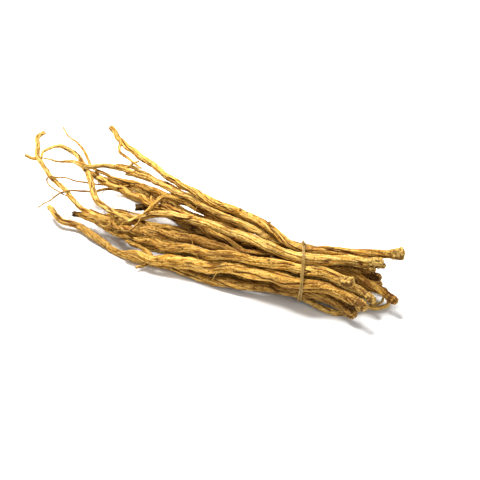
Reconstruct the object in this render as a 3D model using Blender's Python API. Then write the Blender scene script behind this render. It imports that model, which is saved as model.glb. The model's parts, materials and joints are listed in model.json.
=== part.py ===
"""A bundle of dried codonopsis roots, held together by a rubber band wound twice round its middle.

Metres, +Z up. The bundle lies along X: the warty crowns point to +X and the thin forked tails to -X.
The origin is under the middle of its bounding box, on the surface that it lies on.
"""

import math
import random

import bmesh
import bpy
import numpy as np

MM = 0.001

# The routes below are drawn as someone standing in front of the bundle sees it: each point is how far
# it lies to the right of the band's middle, how far above it in that view, its height over the surface
# and the root's radius there, all in millimetres. These four values say where that viewer stands.
TIE = np.array((0.0, 0.0, 21.0))
SEEN_FROM = math.radians(25)
SEEN_FROM_ABOVE = math.radians(35)
SEEN_AT_DISTANCE = 850.0

GAP = 0.42
STATION = 7.0
FORK_STATION = 6.0
TRUNK_SIDES = 8
FORK_SIDES = 5
THINNEST = 0.62
FLAT_UNDERSIDE = 0.66
SETTLING_STEPS = 420
SQUEEZED_STEPS = 230
SQUEEZE_REACH = 20.0
ACROSS_SIGHT = 0.5
HELD_ACROSS_SIGHT = 0.01

# The small bends of a dried root: each wave's length in mm and share, and the most that they reach sideways.
GNARL_WAVES = ((26, 0.45), (41, 0.6), (75, 0.8))
TRUNK_GNARL = 1.0
FORK_GNARL = 0.8

# The furrows lie inside the drawn radius, so a root is drawn this much fuller, from its crown to its tail.
CROWN_FULLNESS = 1.06
TAIL_FULLNESS = 1.32

BAND_WIDTH = 2.6
BAND_HEIGHT = 1.15
BAND_POINTS = 60
BAND_CLEARANCE = 0.38
BAND_TURN = math.radians(24)
BAND_LEAN = math.radians(5)

# Crown first, tail last. A fork starts inside the trunk or fork that it grows from.
ROOTS = {
    "root_01": {
        "tint": "golden",
        "trunk": (
            (72.5, 12.2, 37, 5.0), (68.5, 12.2, 37, 4.5), (60, 12.2, 37, 3.4), (41, 13.1, 37, 3.1),
            (23, 13.9, 36.5, 3.1),
            (1.5, 14.8, 36, 3.0), (-9.5, 18.2, 36, 3.0), (-14.2, 22.6, 36.5, 2.9), (-22.2, 30, 37, 2.8),
            (-30.2, 35.2, 37, 2.8), (-40.5, 39.5, 37, 2.8), (-51, 44, 37, 2.7), (-62.1, 48.3, 37, 2.6),
            (-75.7, 55, 37, 2.6), (-91.4, 64.2, 37, 2.4), (-108.7, 76, 37, 2.3), (-118.8, 84, 38, 2.3),
            (-130, 95, 41, 2.1), (-138.5, 103.4, 46, 1.8),
        ),
        "forks": (
            ((-130, 95, 41, 1.2), (-131.5, 88, 40, 1.1), (-129, 83.5, 39, 1.0), (-123, 78.5, 38, 0.9),
             (-115, 74, 37.5, 0.7)),
            ((-38, 38.5, 37, 1.3), (-41.5, 41.8, 39, 1.2), (-44.5, 43.8, 41, 0.9)),
        ),
    },
    "root_02": {
        "tint": "straw",
        "trunk": (
            (56.9, 7.0, 35, 2.8), (49.7, 7.2, 35, 3.0), (33.8, 7.6, 34.5, 3.5), (15.8, 7.7, 34.5, 3.6),
            (0.7, 8.0, 35, 3.5), (-10.2, 10.8, 35, 3.4), (-22.2, 15.2, 36, 3.3), (-34.1, 21.6, 36.5, 3.3),
            (-46.2, 26.8, 36.5, 3.2), (-59, 31.0, 36, 3.1), (-72, 35.0, 34.5, 3.0), (-86.2, 38.8, 33, 2.8),
            (-100, 41.2, 31.5, 2.5), (-111.6, 40.3, 29, 2.3),
            (-126.7, 36.7, 26, 2.1), (-143.3, 38.9, 24, 1.9), (-157, 44.6, 23, 1.9), (-172, 59, 24, 1.7),
            (-185, 73.4, 26, 1.8), (-191.5, 84.2, 29, 1.8), (-193, 92.5, 32, 1.7), (-191.2, 97.3, 34, 1.6),
            (-186, 99.8, 35, 1.5),
        ),
        "forks": (
            ((-126.7, 36.7, 26, 1.6), (-134, 40.5, 27, 1.7), (-142, 45.4, 28, 1.9), (-148.2, 51.1, 29, 2.1),
             (-149.8, 58, 29.5, 2.2), (-151.6, 66, 30, 2.3), (-154, 73, 31, 2.2), (-160.6, 82, 32, 1.7),
             (-170.6, 88.6, 34, 1.5), (-178, 91, 35, 1.3), (-185, 88, 36, 1.1), (-188, 81.4, 36, 0.9)),
            ((-190.9, 83, 28.5, 1.3), (-196, 82, 30, 1.2), (-200.5, 84, 32, 1.1)),
        ),
    },
    "root_03": {
        "tint": "golden",
        "trunk": (
            (36.5, -7.6, 28, 4.2), (31.7, -7.2, 28, 3.6), (26.6, -5, 28.5, 3.5), (15.8, -1.1, 28.5, 3.5),
            (2.2, 1.1, 28.5, 3.5), (-9.4, 3.6, 28.5, 3.3), (-28.4, 5.4, 27, 3.2), (-50.4, 8.6, 23, 3.1),
            (-64, 10, 21, 3.1), (-74.2, 13.7, 20, 3.1), (-99.4, 17.6, 18, 2.8), (-109.4, 21.6, 17, 2.6),
            (-119.5, 23.8, 15, 2.4), (-134, 29.4, 13, 2.2), (-144.7, 34, 11, 2.1), (-153.4, 38, 10, 2.1),
            (-165, 41.5, 9, 2.0),
        ),
        "forks": (
            ((-19.4, 4.8, 27.5, 1.6), (-20, 8.6, 29.5, 1.3), (-21.5, 11, 31, 0.9)),
            ((-109.4, 21.6, 17, 1.4), (-119, 29, 19, 1.2), (-129, 35, 20, 1.1), (-136, 41.5, 21, 0.9),
             (-143, 42.5, 22, 0.7)),
        ),
    },
    "root_04": {
        "tint": "golden",
        "trunk": (
            (44.6, -25.9, 16, 4.4), (38.9, -22.3, 16.5, 4.2), (26.6, -15.2, 17, 4.3), (15.8, -11, 17.5, 4.3),
            (-0.7, -8.4, 18, 4.3), (-11.9, -4.6, 18, 4.4), (-23, -1.2, 17.5, 4.4), (-45, 2.8, 16, 4.5),
            (-67, 5.2, 13.5, 4.3), (-79.2, 7, 12.5, 4.0), (-94.3, 8.6, 11, 3.5), (-104.4, 9.0, 10, 3.0),
            (-113, 9.6, 9, 2.5), (-121, 11.4, 8, 1.9), (-129, 13.8, 7, 1.2),
        ),
        "forks": (
            ((-104.4, 9.0, 10, 1.6), (-111, 14, 11, 1.4), (-118, 18.5, 12, 1.1), (-125, 22.5, 12.5, 0.8)),
        ),
    },
    "root_05": {
        "tint": "grey",
        "trunk": (
            (36.5, -34, 3.4, 4.3), (30.2, -28.8, 3.8, 4.0), (23, -23.8, 5, 4.0), (12.2, -19.4, 7, 3.9),
            (0, -17, 8, 3.8), (-11.9, -16, 7, 3.4), (-23, -14.6, 5.4, 3.3), (-45.4, -11.4, 4, 3.3),
            (-59, -9, 2.6, 3.3), (-73.4, -5, 2, 3.2), (-90, 0.8, 2, 3.0), (-109.4, 6.4, 2, 2.8),
            (-127.4, 11.5, 1.8, 2.7), (-136, 14.5, 2, 2.6), (-149, 23.3, 3, 2.5), (-158, 31, 4.5, 2.4),
            (-167.8, 34.6, 6, 2.2), (-175.8, 38, 8, 2.1), (-183, 46, 10, 2.0),
        ),
        "forks": (((-109.4, 6.4, 2, 1.2), (-114, 2.5, 2, 1.0), (-119, 1.5, 1.8, 0.8)),),
    },
    "root_06": {
        "tint": "straw",
        "trunk": (
            (58.3, -1.4, 25, 2.9), (45.4, 0.7, 27, 3.2), (30.2, 3.6, 28, 3.4), (3, 10.6, 29, 3.4),
            (-11.5, 15.6, 30, 3.1), (-21, 19.5, 31, 2.9), (-30.2, 24.3, 32, 2.7), (-42.2, 30.9, 33, 2.5),
            (-54.2, 37, 32, 2.4), (-65.4, 42.7, 31, 2.3), (-78, 49.3, 31, 2.2), (-95.8, 58, 31, 2.1),
            (-111.6, 66.2, 31, 1.9), (-124.6, 71.6, 32, 1.9), (-137.5, 73.8, 33, 1.7), (-148, 73.8, 34, 1.6),
            (-156, 75, 35, 1.6), (-165.4, 78.6, 35.5, 1.4), (-171, 79.3, 35.5, 1.0), (-178, 79.4, 35, 0.75),
            (-187, 80.8, 34.5, 0.6),
        ),
        "forks": (
            ((-126, 72, 32, 1.1), (-121.5, 76.8, 33, 0.9), (-116.6, 78, 34, 0.7)),
            ((-30.2, 24.3, 32, 1.3), (-27, 29, 34, 1.1), (-23.5, 33, 34.5, 0.8)),
        ),
    },
    "root_07": {
        "tint": "brown",
        "trunk": (
            (56.2, -6.5, 20, 3.1), (46, -2.9, 21, 3.4), (30.2, 0.7, 23, 3.5), (1, 7.4, 28, 3.5),
            (-16.6, 7.6, 27, 3.3), (-28.4, 8.2, 25, 3.2), (-41.8, 9.6, 23, 3.2), (-54, 13.6, 23, 3.3),
            (-66, 18.0, 24, 3.4), (-77, 21.6, 25, 3.4), (-94.3, 24.5, 24, 3.1), (-104.4, 27.4, 23, 2.8),
            (-112.3, 28.8, 22, 2.5), (-124.6, 31.2, 20, 2.0), (-134, 33.6, 18, 1.5), (-142, 35.5, 16, 0.9),
        ),
        "forks": (
            ((-104.4, 27.4, 23, 1.5), (-112, 34, 23, 1.3), (-120, 37.5, 24, 1.1), (-128, 38.5, 26, 0.9),
             (-133, 34, 28, 0.8), (-129, 29.5, 29, 0.7)),
        ),
    },
    "root_08": {
        "tint": "golden",
        "trunk": (
            (67, -21.6, 9, 3.4), (57.6, -14.4, 13, 3.2), (47.5, -9.4, 17, 3.2), (38.9, -3.5, 21, 3.2),
            (26.6, 0, 24, 3.3), (0, 3.6, 27, 3.3), (-20, 6, 22, 3.2), (-41.8, 12.8, 19, 3.1),
            (-59, 24, 22, 3.1), (-74.2, 34.5, 25, 3.1), (-88.6, 41, 26, 2.9), (-101.5, 46, 25, 2.8),
            (-108.7, 48.5, 25, 2.8), (-116.6, 53.4, 25, 2.8), (-129.6, 60.4, 26, 2.7), (-138, 63, 27, 2.6),
            (-146, 66.8, 28, 2.5), (-152, 72.5, 29, 2.1),
        ),
        "forks": (
            ((-106, 47, 25, 1.5), (-108.5, 56, 27, 1.5), (-114, 60.5, 28, 1.5), (-120, 63.6, 29, 1.4),
             (-127, 65.2, 29, 1.4), (-134, 66.2, 30, 1.3)),
        ),
    },
    "root_09": {
        "tint": "straw",
        "trunk": (
            (51, -20.9, 13, 3.4), (42.5, -14.4, 16, 3.2), (33.8, -10, 19, 3.1), (19.4, -5.8, 21, 3.2),
            (0, -3.5, 21, 3.3), (-19.4, 0.7, 19.5, 3.3), (-41.8, 4.2, 17, 3.2), (-64, 8.8, 14, 3.1),
            (-79.2, 9.4, 13, 3.0), (-94.3, 13, 12, 2.8), (-114.5, 18.7, 11, 2.4), (-127, 24.2, 11, 1.8),
            (-137, 29.4, 10, 1.3), (-145, 34, 9.5, 0.9),
        ),
        "forks": (
            ((-127, 24.2, 11, 1.2), (-132, 33, 13, 1.0), (-140, 39, 15, 0.9), (-148, 40, 17, 0.7)),
        ),
    },
    "root_10": {
        "tint": "golden",
        "trunk": (
            (62, -11.5, 15, 2.9), (54, -8.2, 17, 3.1), (33.8, -3.6, 19, 3.3), (0, 2, 21, 3.3),
            (-20, 15, 23, 3.2), (-45, 32, 27, 3.0), (-74, 45.3, 28, 2.8), (-97, 54, 28, 2.5),
            (-120, 60.5, 29, 2.0), (-138, 66, 30, 1.5), (-148.5, 72, 31, 1.3), (-156, 82, 33, 1.0),
            (-161, 89, 34, 0.8), (-167.5, 96, 35, 0.7), (-172.8, 103.6, 37, 0.6),
        ),
        "forks": (
            ((-120, 60.5, 29, 1.2), (-127, 59.5, 24, 0.9), (-140, 60.5, 21, 0.7), (-152, 61.8, 22, 0.6),
             (-165, 65, 24, 0.6), (-178, 66.4, 26, 0.6)),
            ((-80, 48, 28, 1.6), (-90, 52, 31.5, 1.5), (-98.5, 53.6, 33, 1.5), (-104.5, 50, 33.5, 1.4),
             (-110, 43.8, 33, 1.2), (-113, 41, 32.5, 1.0)),
        ),
    },
    "root_11": {
        "tint": "straw",
        "trunk": (
            (-94, 7.6, 6.5, 2.3), (-78, 2.2, 7, 2.8), (-62, -2.2, 8, 3.1), (-48, -5.2, 8, 3.1),
            (-30, -9.6, 7, 2.8), (-14, -14.6, 5.5, 2.5), (-3, -19.8, 4.4, 2.1),
            (8.6, -26.4, 3, 1.8), (17.3, -30, 2.2, 1.7), (30.2, -31.4, 1.8, 1.6), (45.4, -28.8, 1.6, 1.5),
            (55.4, -28, 1.5, 1.3), (60.5, -25.9, 1.5, 1.1), (61.2, -21.6, 2, 0.8),
        ),
        "forks": (
            ((45.4, -28.6, 1.6, 1.0), (52, -25, 2.2, 0.9), (57.5, -23.5, 3, 0.8), (59, -20, 4, 0.7)),
        ),
    },
    "root_12": {
        "tint": "golden",
        "trunk": (
            (49.7, -13.7, 9, 3.2), (30, -5, 14, 3.4), (-4, 4.4, 21, 3.4), (-30, 15, 21, 3.2),
            (-60, 29, 20, 2.9), (-90, 38.5, 19, 2.6), (-106, 45, 20, 2.3), (-116, 51, 21, 1.9),
            (-128, 57.2, 22, 1.4), (-139, 59.5, 22.5, 1.0), (-150, 58.4, 23, 0.7), (-165.4, 57.5, 23.5, 0.6),
            (-173.4, 55.5, 24, 0.55), (-182, 50.8, 25, 0.5), (-191.4, 45.5, 26, 0.5),
        ),
        "forks": (
            ((-106, 45, 20, 2.2), (-112.5, 46, 20, 2.3), (-119.5, 45.8, 20, 2.2)),
        ),
    },
    "root_13": {
        "tint": "straw",
        "trunk": (
            (53, -2.8, 11, 3.1), (30, 2, 15, 3.3), (7, 8.8, 21, 3.3), (-12, 17.5, 24, 3.1),
            (-22, 25, 28, 2.9), (-34.2, 31.8, 30.5, 2.8), (-49.4, 39.8, 31, 2.6), (-65.4, 47, 31, 2.4),
            (-83.8, 55.3, 30, 2.0), (-100, 63.5, 30, 1.8), (-114, 70.5, 31, 1.5), (-125, 75, 32, 1.2),
            (-134, 78, 33, 0.8),
        ),
        "forks": (
            ((-100, 63.5, 30, 1.2), (-109, 65, 27, 1.1), (-118, 67.5, 24, 1.0), (-127, 68.5, 22, 0.8)),
        ),
    },
    "root_14": {
        "tint": "grey",
        "trunk": (
            (40, -22, 9, 3.8), (20, -14, 11, 3.7), (-2, -8.4, 13.5, 3.7), (-25, -1, 11, 3.6),
            (-55, 8, 8.5, 3.4), (-85, 16, 7, 3.1), (-110, 22, 6, 2.6), (-128, 29.5, 5, 1.9),
            (-141, 35.5, 5, 1.3), (-151, 40, 6, 0.9),
        ),
        "forks": (
            ((-110, 22, 6, 1.3), (-121, 24, 5, 1.1), (-131, 28, 6, 0.9), (-140, 31.5, 7, 0.7)),
        ),
    },
    "root_15": {
        "tint": "golden",
        "trunk": (
            (48.7, -20.3, 6, 3.7), (25, -10, 10, 3.6), (2, -3.9, 13.5, 3.7), (-25, 7, 13, 3.6),
            (-55, 17, 12, 3.4), (-85, 27, 11, 3.1), (-110, 34, 11, 2.6), (-128, 37.5, 12, 2.1),
            (-142, 39, 13, 1.6), (-153, 43, 14, 1.2),
        ),
        "forks": (
            ((-110, 34, 11, 1.4), (-120, 38.5, 12, 1.3), (-130, 42, 12, 1.1), (-139, 43.5, 12, 0.8)),
        ),
    },
    "root_16": {
        "tint": "straw",
        "trunk": (
            (57, -13, 7, 3.1), (30, -4, 10, 3.4), (5, 0.5, 13.5, 3.4), (-20, 10, 13, 3.8),
            (-50, 24.5, 12, 3.8), (-80, 39, 11, 3.2), (-108, 54, 11, 2.2), (-128, 62, 12, 1.7),
            (-142, 67, 13, 1.3), (-152, 71.5, 15, 0.9),
        ),
        "forks": (
            ((-108, 54, 11, 1.3), (-118, 56.5, 10, 1.1), (-128, 61, 10, 0.9), (-137, 63.5, 11, 0.7)),
        ),
    },
    "root_17": {
        "tint": "brown",
        "trunk": (
            (42.5, -24, 3.2, 3.6), (20, -17, 5, 3.6), (0, -11.9, 7, 3.7), (-25, -5, 5, 3.6),
            (-55, 4, 3.2, 3.5), (-85, 14, 2.8, 3.2), (-110, 23, 2.5, 2.7), (-126, 30, 2.2, 2.1),
            (-138, 35, 2.2, 1.5), (-148, 38.5, 3, 1.0),
        ),
        "forks": (
            ((-110, 23, 2.5, 1.3), (-120, 22.5, 2, 1.2), (-130, 25, 2, 1.0), (-138, 29, 2, 0.8)),
        ),
    },
    "root_18": {
        "tint": "grey",
        "trunk": (
            (44.7, -13.2, 3.2, 3.6), (25, -9, 5, 3.5), (4, -7.5, 7, 3.6), (-20, 4, 5.5, 3.5),
            (-50, 18, 3.4, 3.9), (-80, 32, 2.6, 3.4), (-108, 47.5, 2.2, 2.3), (-128, 57.8, 2, 1.8),
            (-141, 64, 2, 1.3), (-151, 69.5, 2.5, 0.9),
        ),
        "forks": (
            ((-108, 47.5, 2.2, 1.2), (-119, 50.5, 2, 1.0), (-130, 56, 2.4, 0.8)),
        ),
    },
}

TINTS = {
    "golden": (0.56, 0.36, 0.12, 1),
    "straw": (0.62, 0.45, 0.19, 1),
    "brown": (0.36, 0.23, 0.10, 1),
    "grey": (0.38, 0.29, 0.17, 1),
}
ROOT_ROUGHNESS = 0.85
BAND_TAN = (0.60, 0.38, 0.20, 1)
BAND_ROUGHNESS = 0.35

# How the crown swells: distance from its end in mm, and share of the root's radius there.
CROWN = ((0.0, 0.66), (0.8, 0.94), (3.0, 1.07), (5.6, 1.0), (8.5, 0.9), (12.5, 0.96))
CROWN_SWELL = 1.08


def clear_scene():
    for obj in list(bpy.data.objects):
        bpy.data.objects.remove(obj, do_unlink=True)


def view_axes():
    """The viewer's right, up and back directions."""
    right = np.array((math.cos(SEEN_FROM), math.sin(SEEN_FROM), 0))
    level = math.cos(SEEN_FROM_ABOVE)
    back = np.array((math.sin(SEEN_FROM) * level, -math.cos(SEEN_FROM) * level, math.sin(SEEN_FROM_ABOVE)))
    return right, np.cross(back, right), back


def placed(route):
    """The route's points in the part's own millimetres: x, y, z and the radius."""
    route = np.array(route, float)
    right, upward, back = view_axes()
    eye = TIE + SEEN_AT_DISTANCE * back
    aimed = TIE + route[:, :1] * right + route[:, 1:2] * upward
    reach = (route[:, 2] - eye[2]) / (aimed[:, 2] - eye[2])
    points = eye + reach[:, None] * (aimed - eye)
    return np.column_stack([points, route[:, 3]])


def smooth_line(points, station):
    """Evenly spaced stations on a Catmull-Rom curve through the points; columns past the third ride along."""
    ends = np.vstack([2 * points[0] - points[1], points, 2 * points[-1] - points[-2]])
    curve = []
    for before, start, end, after in zip(ends, ends[1:], ends[2:], ends[3:]):
        for share in np.linspace(0, 1, 24, endpoint=False):
            curve.append(
                0.5
                * (
                    2 * start
                    + (end - before) * share
                    + (2 * before - 5 * start + 4 * end - after) * share**2
                    + (3 * start - before - 3 * end + after) * share**3
                )
            )
    curve = np.array(curve + [points[-1]])
    steps = np.linalg.norm(np.diff(curve[:, :3], axis=0), axis=1)
    along = np.concatenate([[0], np.cumsum(steps)])
    count = max(3, round(along[-1] / station) + 1)
    wanted = np.linspace(0, along[-1], count)
    return np.column_stack([np.interp(wanted, along, column) for column in curve.T])


def gnarled(line, draw, most):
    """The line with the small bends of a dried root, wider towards its tail and none at its first station."""
    across, upward = ring_frames(line)
    steps = np.linalg.norm(np.diff(line[:, :3], axis=0), axis=1)
    along = np.concatenate([[0], np.cumsum(steps)])
    reach = most * (0.15 + 0.85 * along / along[-1]) * np.clip(along / 20, 0, 1)
    line = line.copy()
    for direction in (across, upward):
        bend = sum(
            share * np.sin(math.tau * along / (wave * draw.uniform(0.85, 1.2)) + draw.uniform(0, math.tau))
            for wave, share in GNARL_WAVES
        )
        line[:, :3] += (reach * bend)[:, None] * direction
    return line


def strands_of_roots():
    """Every trunk and fork as a smooth line, in one list, with the root and the strand that it grows from."""
    strands = []
    for number, (name, root) in enumerate(ROOTS.items()):
        draw = random.Random(500 + number)
        trunk = gnarled(smooth_line(placed(root["trunk"]), STATION), draw, TRUNK_GNARL)
        trunk[:, 3] *= np.linspace(CROWN_FULLNESS, TAIL_FULLNESS, len(trunk))
        reach = np.linalg.norm(trunk[:, :3] - trunk[0, :3], axis=1)
        trunk[reach < CROWN[-1][0], 3] *= CROWN_SWELL
        family = [len(strands)]
        strands.append({"root": name, "line": trunk, "parent": None})
        for fork in root["forks"]:
            line = smooth_line(placed(fork), FORK_STATION)
            line[:, 3] = np.maximum(line[:, 3] * TAIL_FULLNESS, THINNEST)
            nearest = min(
                (float(np.linalg.norm(strands[one]["line"][i, :3] - line[0, :3])), one, i)
                for one in family
                for i in range(len(strands[one]["line"]))
            )
            line[0, :3] = strands[nearest[1]]["line"][nearest[2], :3]
            line = gnarled(line, draw, FORK_GNARL)
            family.append(len(strands))
            strands.append({"root": name, "line": line, "parent": nearest[1:]})
    return strands


def closest_on_segments(a, b, c, d):
    """For each pair of segments a-b and c-d, the shares along them of their closest points."""
    one, two, between = b - a, d - c, a - c
    one_one = np.einsum("ij,ij->i", one, one)
    two_two = np.einsum("ij,ij->i", two, two)
    one_two = np.einsum("ij,ij->i", one, two)
    one_between = np.einsum("ij,ij->i", one, between)
    two_between = np.einsum("ij,ij->i", two, between)
    spread = np.maximum(one_one * two_two - one_two**2, 1e-9)
    s = np.clip((one_two * two_between - one_between * two_two) / spread, 0, 1)
    t = np.clip((one_two * s + two_between) / two_two, 0, 1)
    s = np.clip((one_two * t - one_between) / one_one, 0, 1)
    return s, t


def settle(strands):
    """Moves the strands until no root passes through another, the surface or the band's space under it.

    The band's squeeze draws the roots together at the tie. What a station moves is smoothed along its
    strand, and goes more along the line of sight than across it, so the drawn shapes are kept.
    """
    back = view_axes()[2]
    along_band = band_axes()[0]
    sizes = [len(strand["line"]) for strand in strands]
    first = np.concatenate([[0], np.cumsum(sizes)])
    points = np.vstack([strand["line"][:, :3] for strand in strands])
    radii = np.concatenate([strand["line"][:, 3] for strand in strands])
    drawn = points.copy()
    names = list(ROOTS)
    owner = np.concatenate([[names.index(s["root"])] * n for s, n in zip(strands, sizes)])
    index = np.arange(len(points))
    begins = np.isin(index, first[:-1])
    ends = np.isin(index, first[1:] - 1)
    before = np.where(begins, index, index - 1)
    after = np.where(ends, index, index + 1)
    segment = index[~ends]
    bases = [(first[i], first[s["parent"][0]] + s["parent"][1]) for i, s in enumerate(strands) if s["parent"]]
    base, holder = np.array(bases).T
    for step in range(SETTLING_STEPS):
        if step % 10 == 0:
            middle = (points[segment] + points[segment + 1]) / 2
            wide = radii[segment] + STATION
            i, j = np.triu_indices(len(segment), 1)
            apart = owner[segment[i]] != owner[segment[j]]
            i, j = i[apart], j[apart]
            near = np.linalg.norm(middle[i] - middle[j], axis=1) < wide[i] + wide[j]
            i, j = segment[i[near]], segment[j[near]]
        s, t = closest_on_segments(points[i], points[i + 1], points[j], points[j + 1])
        first_at = points[i] + s[:, None] * (points[i + 1] - points[i])
        second_at = points[j] + t[:, None] * (points[j + 1] - points[j])
        need = radii[i] * (1 - s) + radii[i + 1] * s + radii[j] * (1 - t) + radii[j + 1] * t + GAP
        away = first_at - second_at
        distance = np.maximum(np.linalg.norm(away, axis=1), 1e-6)
        push = np.maximum(need - distance, 0)[:, None] * away / distance[:, None] * 0.45
        moves = np.zeros_like(points)
        for at, share, sign in ((i, 1 - s, 1), (i + 1, s, 1), (j, 1 - t, -1), (j + 1, t, -1)):
            np.add.at(moves, at, sign * share[:, None] * push)
        in_sight = (moves @ back)[:, None] * back
        points = points + np.clip(in_sight + ACROSS_SIGHT * (moves - in_sight), -0.8, 0.8)
        if step < SQUEEZED_STEPS:
            moved = points - drawn
            points = points - HELD_ACROSS_SIGHT * (moved - (moved @ back)[:, None] * back)
            hold = np.clip(1 - np.abs(points[:, 0]) / SQUEEZE_REACH, 0, 1) * 0.02
            points[:, 1:] += hold[:, None] * (TIE[1:] - points[:, 1:])
        smoothing = 0.4 * min(1, max(0, (SETTLING_STEPS - 60 - step) / 120))
        moved = points - drawn
        moved = moved + smoothing * ((moved[before] + moved[after]) / 2 - moved)
        moved[base] = moved[holder]
        points = drawn + moved
        lowest = radii * FLAT_UNDERSIDE
        beside_band = np.abs((points - TIE) @ along_band) < STATION
        lowest = np.where(beside_band, radii + BAND_HEIGHT + BAND_CLEARANCE + 0.3, lowest)
        points[:, 2] = np.maximum(points[:, 2], lowest)
    overlap = (need - GAP - distance).max() if len(need) else 0
    print(f"closest two roots: {-overlap:.2f} mm")
    for number, strand in enumerate(strands):
        strand["line"] = np.column_stack(
            [points[first[number] : first[number + 1]], radii[first[number] : first[number + 1]]]
        )


def ring_frames(line):
    """At each station, the level direction across the strand and the one square to it and to the strand."""
    along = np.gradient(line[:, :3], axis=0)
    along /= np.linalg.norm(along, axis=1)[:, None]
    across = np.cross(along, (0, 0, 1))
    across /= np.maximum(np.linalg.norm(across, axis=1)[:, None], 1e-6)
    return across, np.cross(across, along)


def tube(name, line, sides, shape):
    """A closed tube along the line; shape gives each ring point's share of the radius."""
    across, upward = ring_frames(line)
    mesh = bmesh.new()
    rings = []
    for number, (x, y, z, radius) in enumerate(line):
        ring = []
        for side in range(sides):
            angle = math.tau * (side + 0.5) / sides - math.pi / 2
            reach = radius * shape(number, side)
            spoke = math.cos(angle) * across[number] + math.sin(angle) * upward[number]
            point = np.array((x, y, z)) + reach * spoke
            point[2] = max(point[2], 0)
            ring.append(mesh.verts.new(point * MM))
        rings.append(ring)
    for one, two in zip(rings, rings[1:]):
        for side in range(sides):
            other = (side + 1) % sides
            mesh.faces.new((one[side], one[other], two[other], two[side]))
    mesh.faces.new(rings[0][::-1])
    mesh.faces.new(rings[-1])
    bmesh.ops.recalc_face_normals(mesh, faces=mesh.faces)
    bmesh.ops.triangulate(mesh, faces=mesh.faces)
    data = bpy.data.meshes.new(name)
    mesh.to_mesh(data)
    mesh.free()
    data.shade_smooth()
    obj = bpy.data.objects.new(name, data)
    bpy.context.scene.collection.objects.link(obj)
    return obj


def trunk_line(line):
    """The trunk's stations, with closer ones through the swollen crown."""
    steps = np.linalg.norm(np.diff(line[:, :3], axis=0), axis=1)
    along = np.concatenate([[0], np.cumsum(steps)])
    rest = along[along > CROWN[-1][0] + STATION / 2]
    wanted = np.concatenate([[at for at, _ in CROWN], rest])
    shares = np.concatenate([[share / CROWN_SWELL for _, share in CROWN], np.ones(len(rest))])
    fine = np.column_stack([np.interp(wanted, along, column) for column in line.T])
    fine[:, 3] *= shares
    return fine


def make_trunk(name, line, draw):
    fine = trunk_line(line)
    turn = draw.uniform(0.05, 0.14) * draw.choice((-1, 1))
    start = draw.uniform(0, math.tau)
    knots = [draw.uniform(0.9, 1.0) for _ in fine]
    warts = [[draw.uniform(0.86, 1.0) for _ in range(TRUNK_SIDES)] for _ in CROWN]

    def shape(number, side):
        if number < len(CROWN):
            return warts[number][side]
        angle = math.tau * side / TRUNK_SIDES
        furrows = 0.93 + 0.07 * math.sin(3 * angle + start + turn * number * STATION)
        return knots[number] * furrows

    return tube(name, fine, TRUNK_SIDES, shape)


def make_fork(line, draw):
    knots = [draw.uniform(0.88, 1.0) for _ in line]
    return tube("fork", line, FORK_SIDES, lambda number, side: knots[number])


def fuse(trunk, forks):
    """Joins the forks to the trunk as one body."""
    if not forks:
        return
    together = bpy.data.collections.new("forks")
    bpy.context.scene.collection.children.link(together)
    for fork in forks:
        bpy.context.scene.collection.objects.unlink(fork)
        together.objects.link(fork)
    union = trunk.modifiers.new("fuse", "BOOLEAN")
    union.operation = "UNION"
    union.operand_type = "COLLECTION"
    union.collection = together
    union.solver = "EXACT"
    bpy.context.view_layer.update()
    graph = bpy.context.evaluated_depsgraph_get()
    fused = bpy.data.meshes.new_from_object(trunk.evaluated_get(graph))
    trunk.modifiers.clear()
    trunk.data = fused
    for fork in forks:
        bpy.data.objects.remove(fork, do_unlink=True)
    bpy.data.collections.remove(together)


def material(name, colour, roughness):
    made = bpy.data.materials.new(name)
    made.use_nodes = True
    surface = made.node_tree.nodes["Principled BSDF"]
    surface.inputs["Base Color"].default_value = colour
    surface.inputs["Roughness"].default_value = roughness
    return made


def make_roots(strands):
    tints = {name: material(name + " root", colour, ROOT_ROUGHNESS) for name, colour in TINTS.items()}
    made = []
    for number, (name, root) in enumerate(ROOTS.items()):
        draw = random.Random(100 + number)
        own = [strand for strand in strands if strand["root"] == name]
        trunk = make_trunk(name, own[0]["line"], draw)
        fuse(trunk, [make_fork(strand["line"], draw) for strand in own[1:]])
        trunk.data.materials.clear()
        trunk.data.materials.append(tints[root["tint"]])
        made.append(trunk)
    return made


def band_axes():
    """The band's plane: along the bundle, level across it, and up."""
    along = np.array((math.cos(BAND_TURN), math.sin(BAND_TURN), -math.sin(BAND_LEAN)))
    along /= np.linalg.norm(along)
    across = np.cross((0, 0, 1), along)
    across /= np.linalg.norm(across)
    return along, across, np.cross(along, across)


def hull(points):
    """The convex outline of flat points, counter-clockwise."""
    points = sorted(map(tuple, points))
    sides = []
    for order in (points, points[::-1]):
        side = []
        for x, y in order:
            while len(side) > 1:
                (ax, ay), (bx, by) = side[-2:]
                if (bx - ax) * (y - ay) - (by - ay) * (x - ax) > 0:
                    break
                side.pop()
            side.append((x, y))
        sides += side[:-1]
    return np.array(sides)


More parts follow.
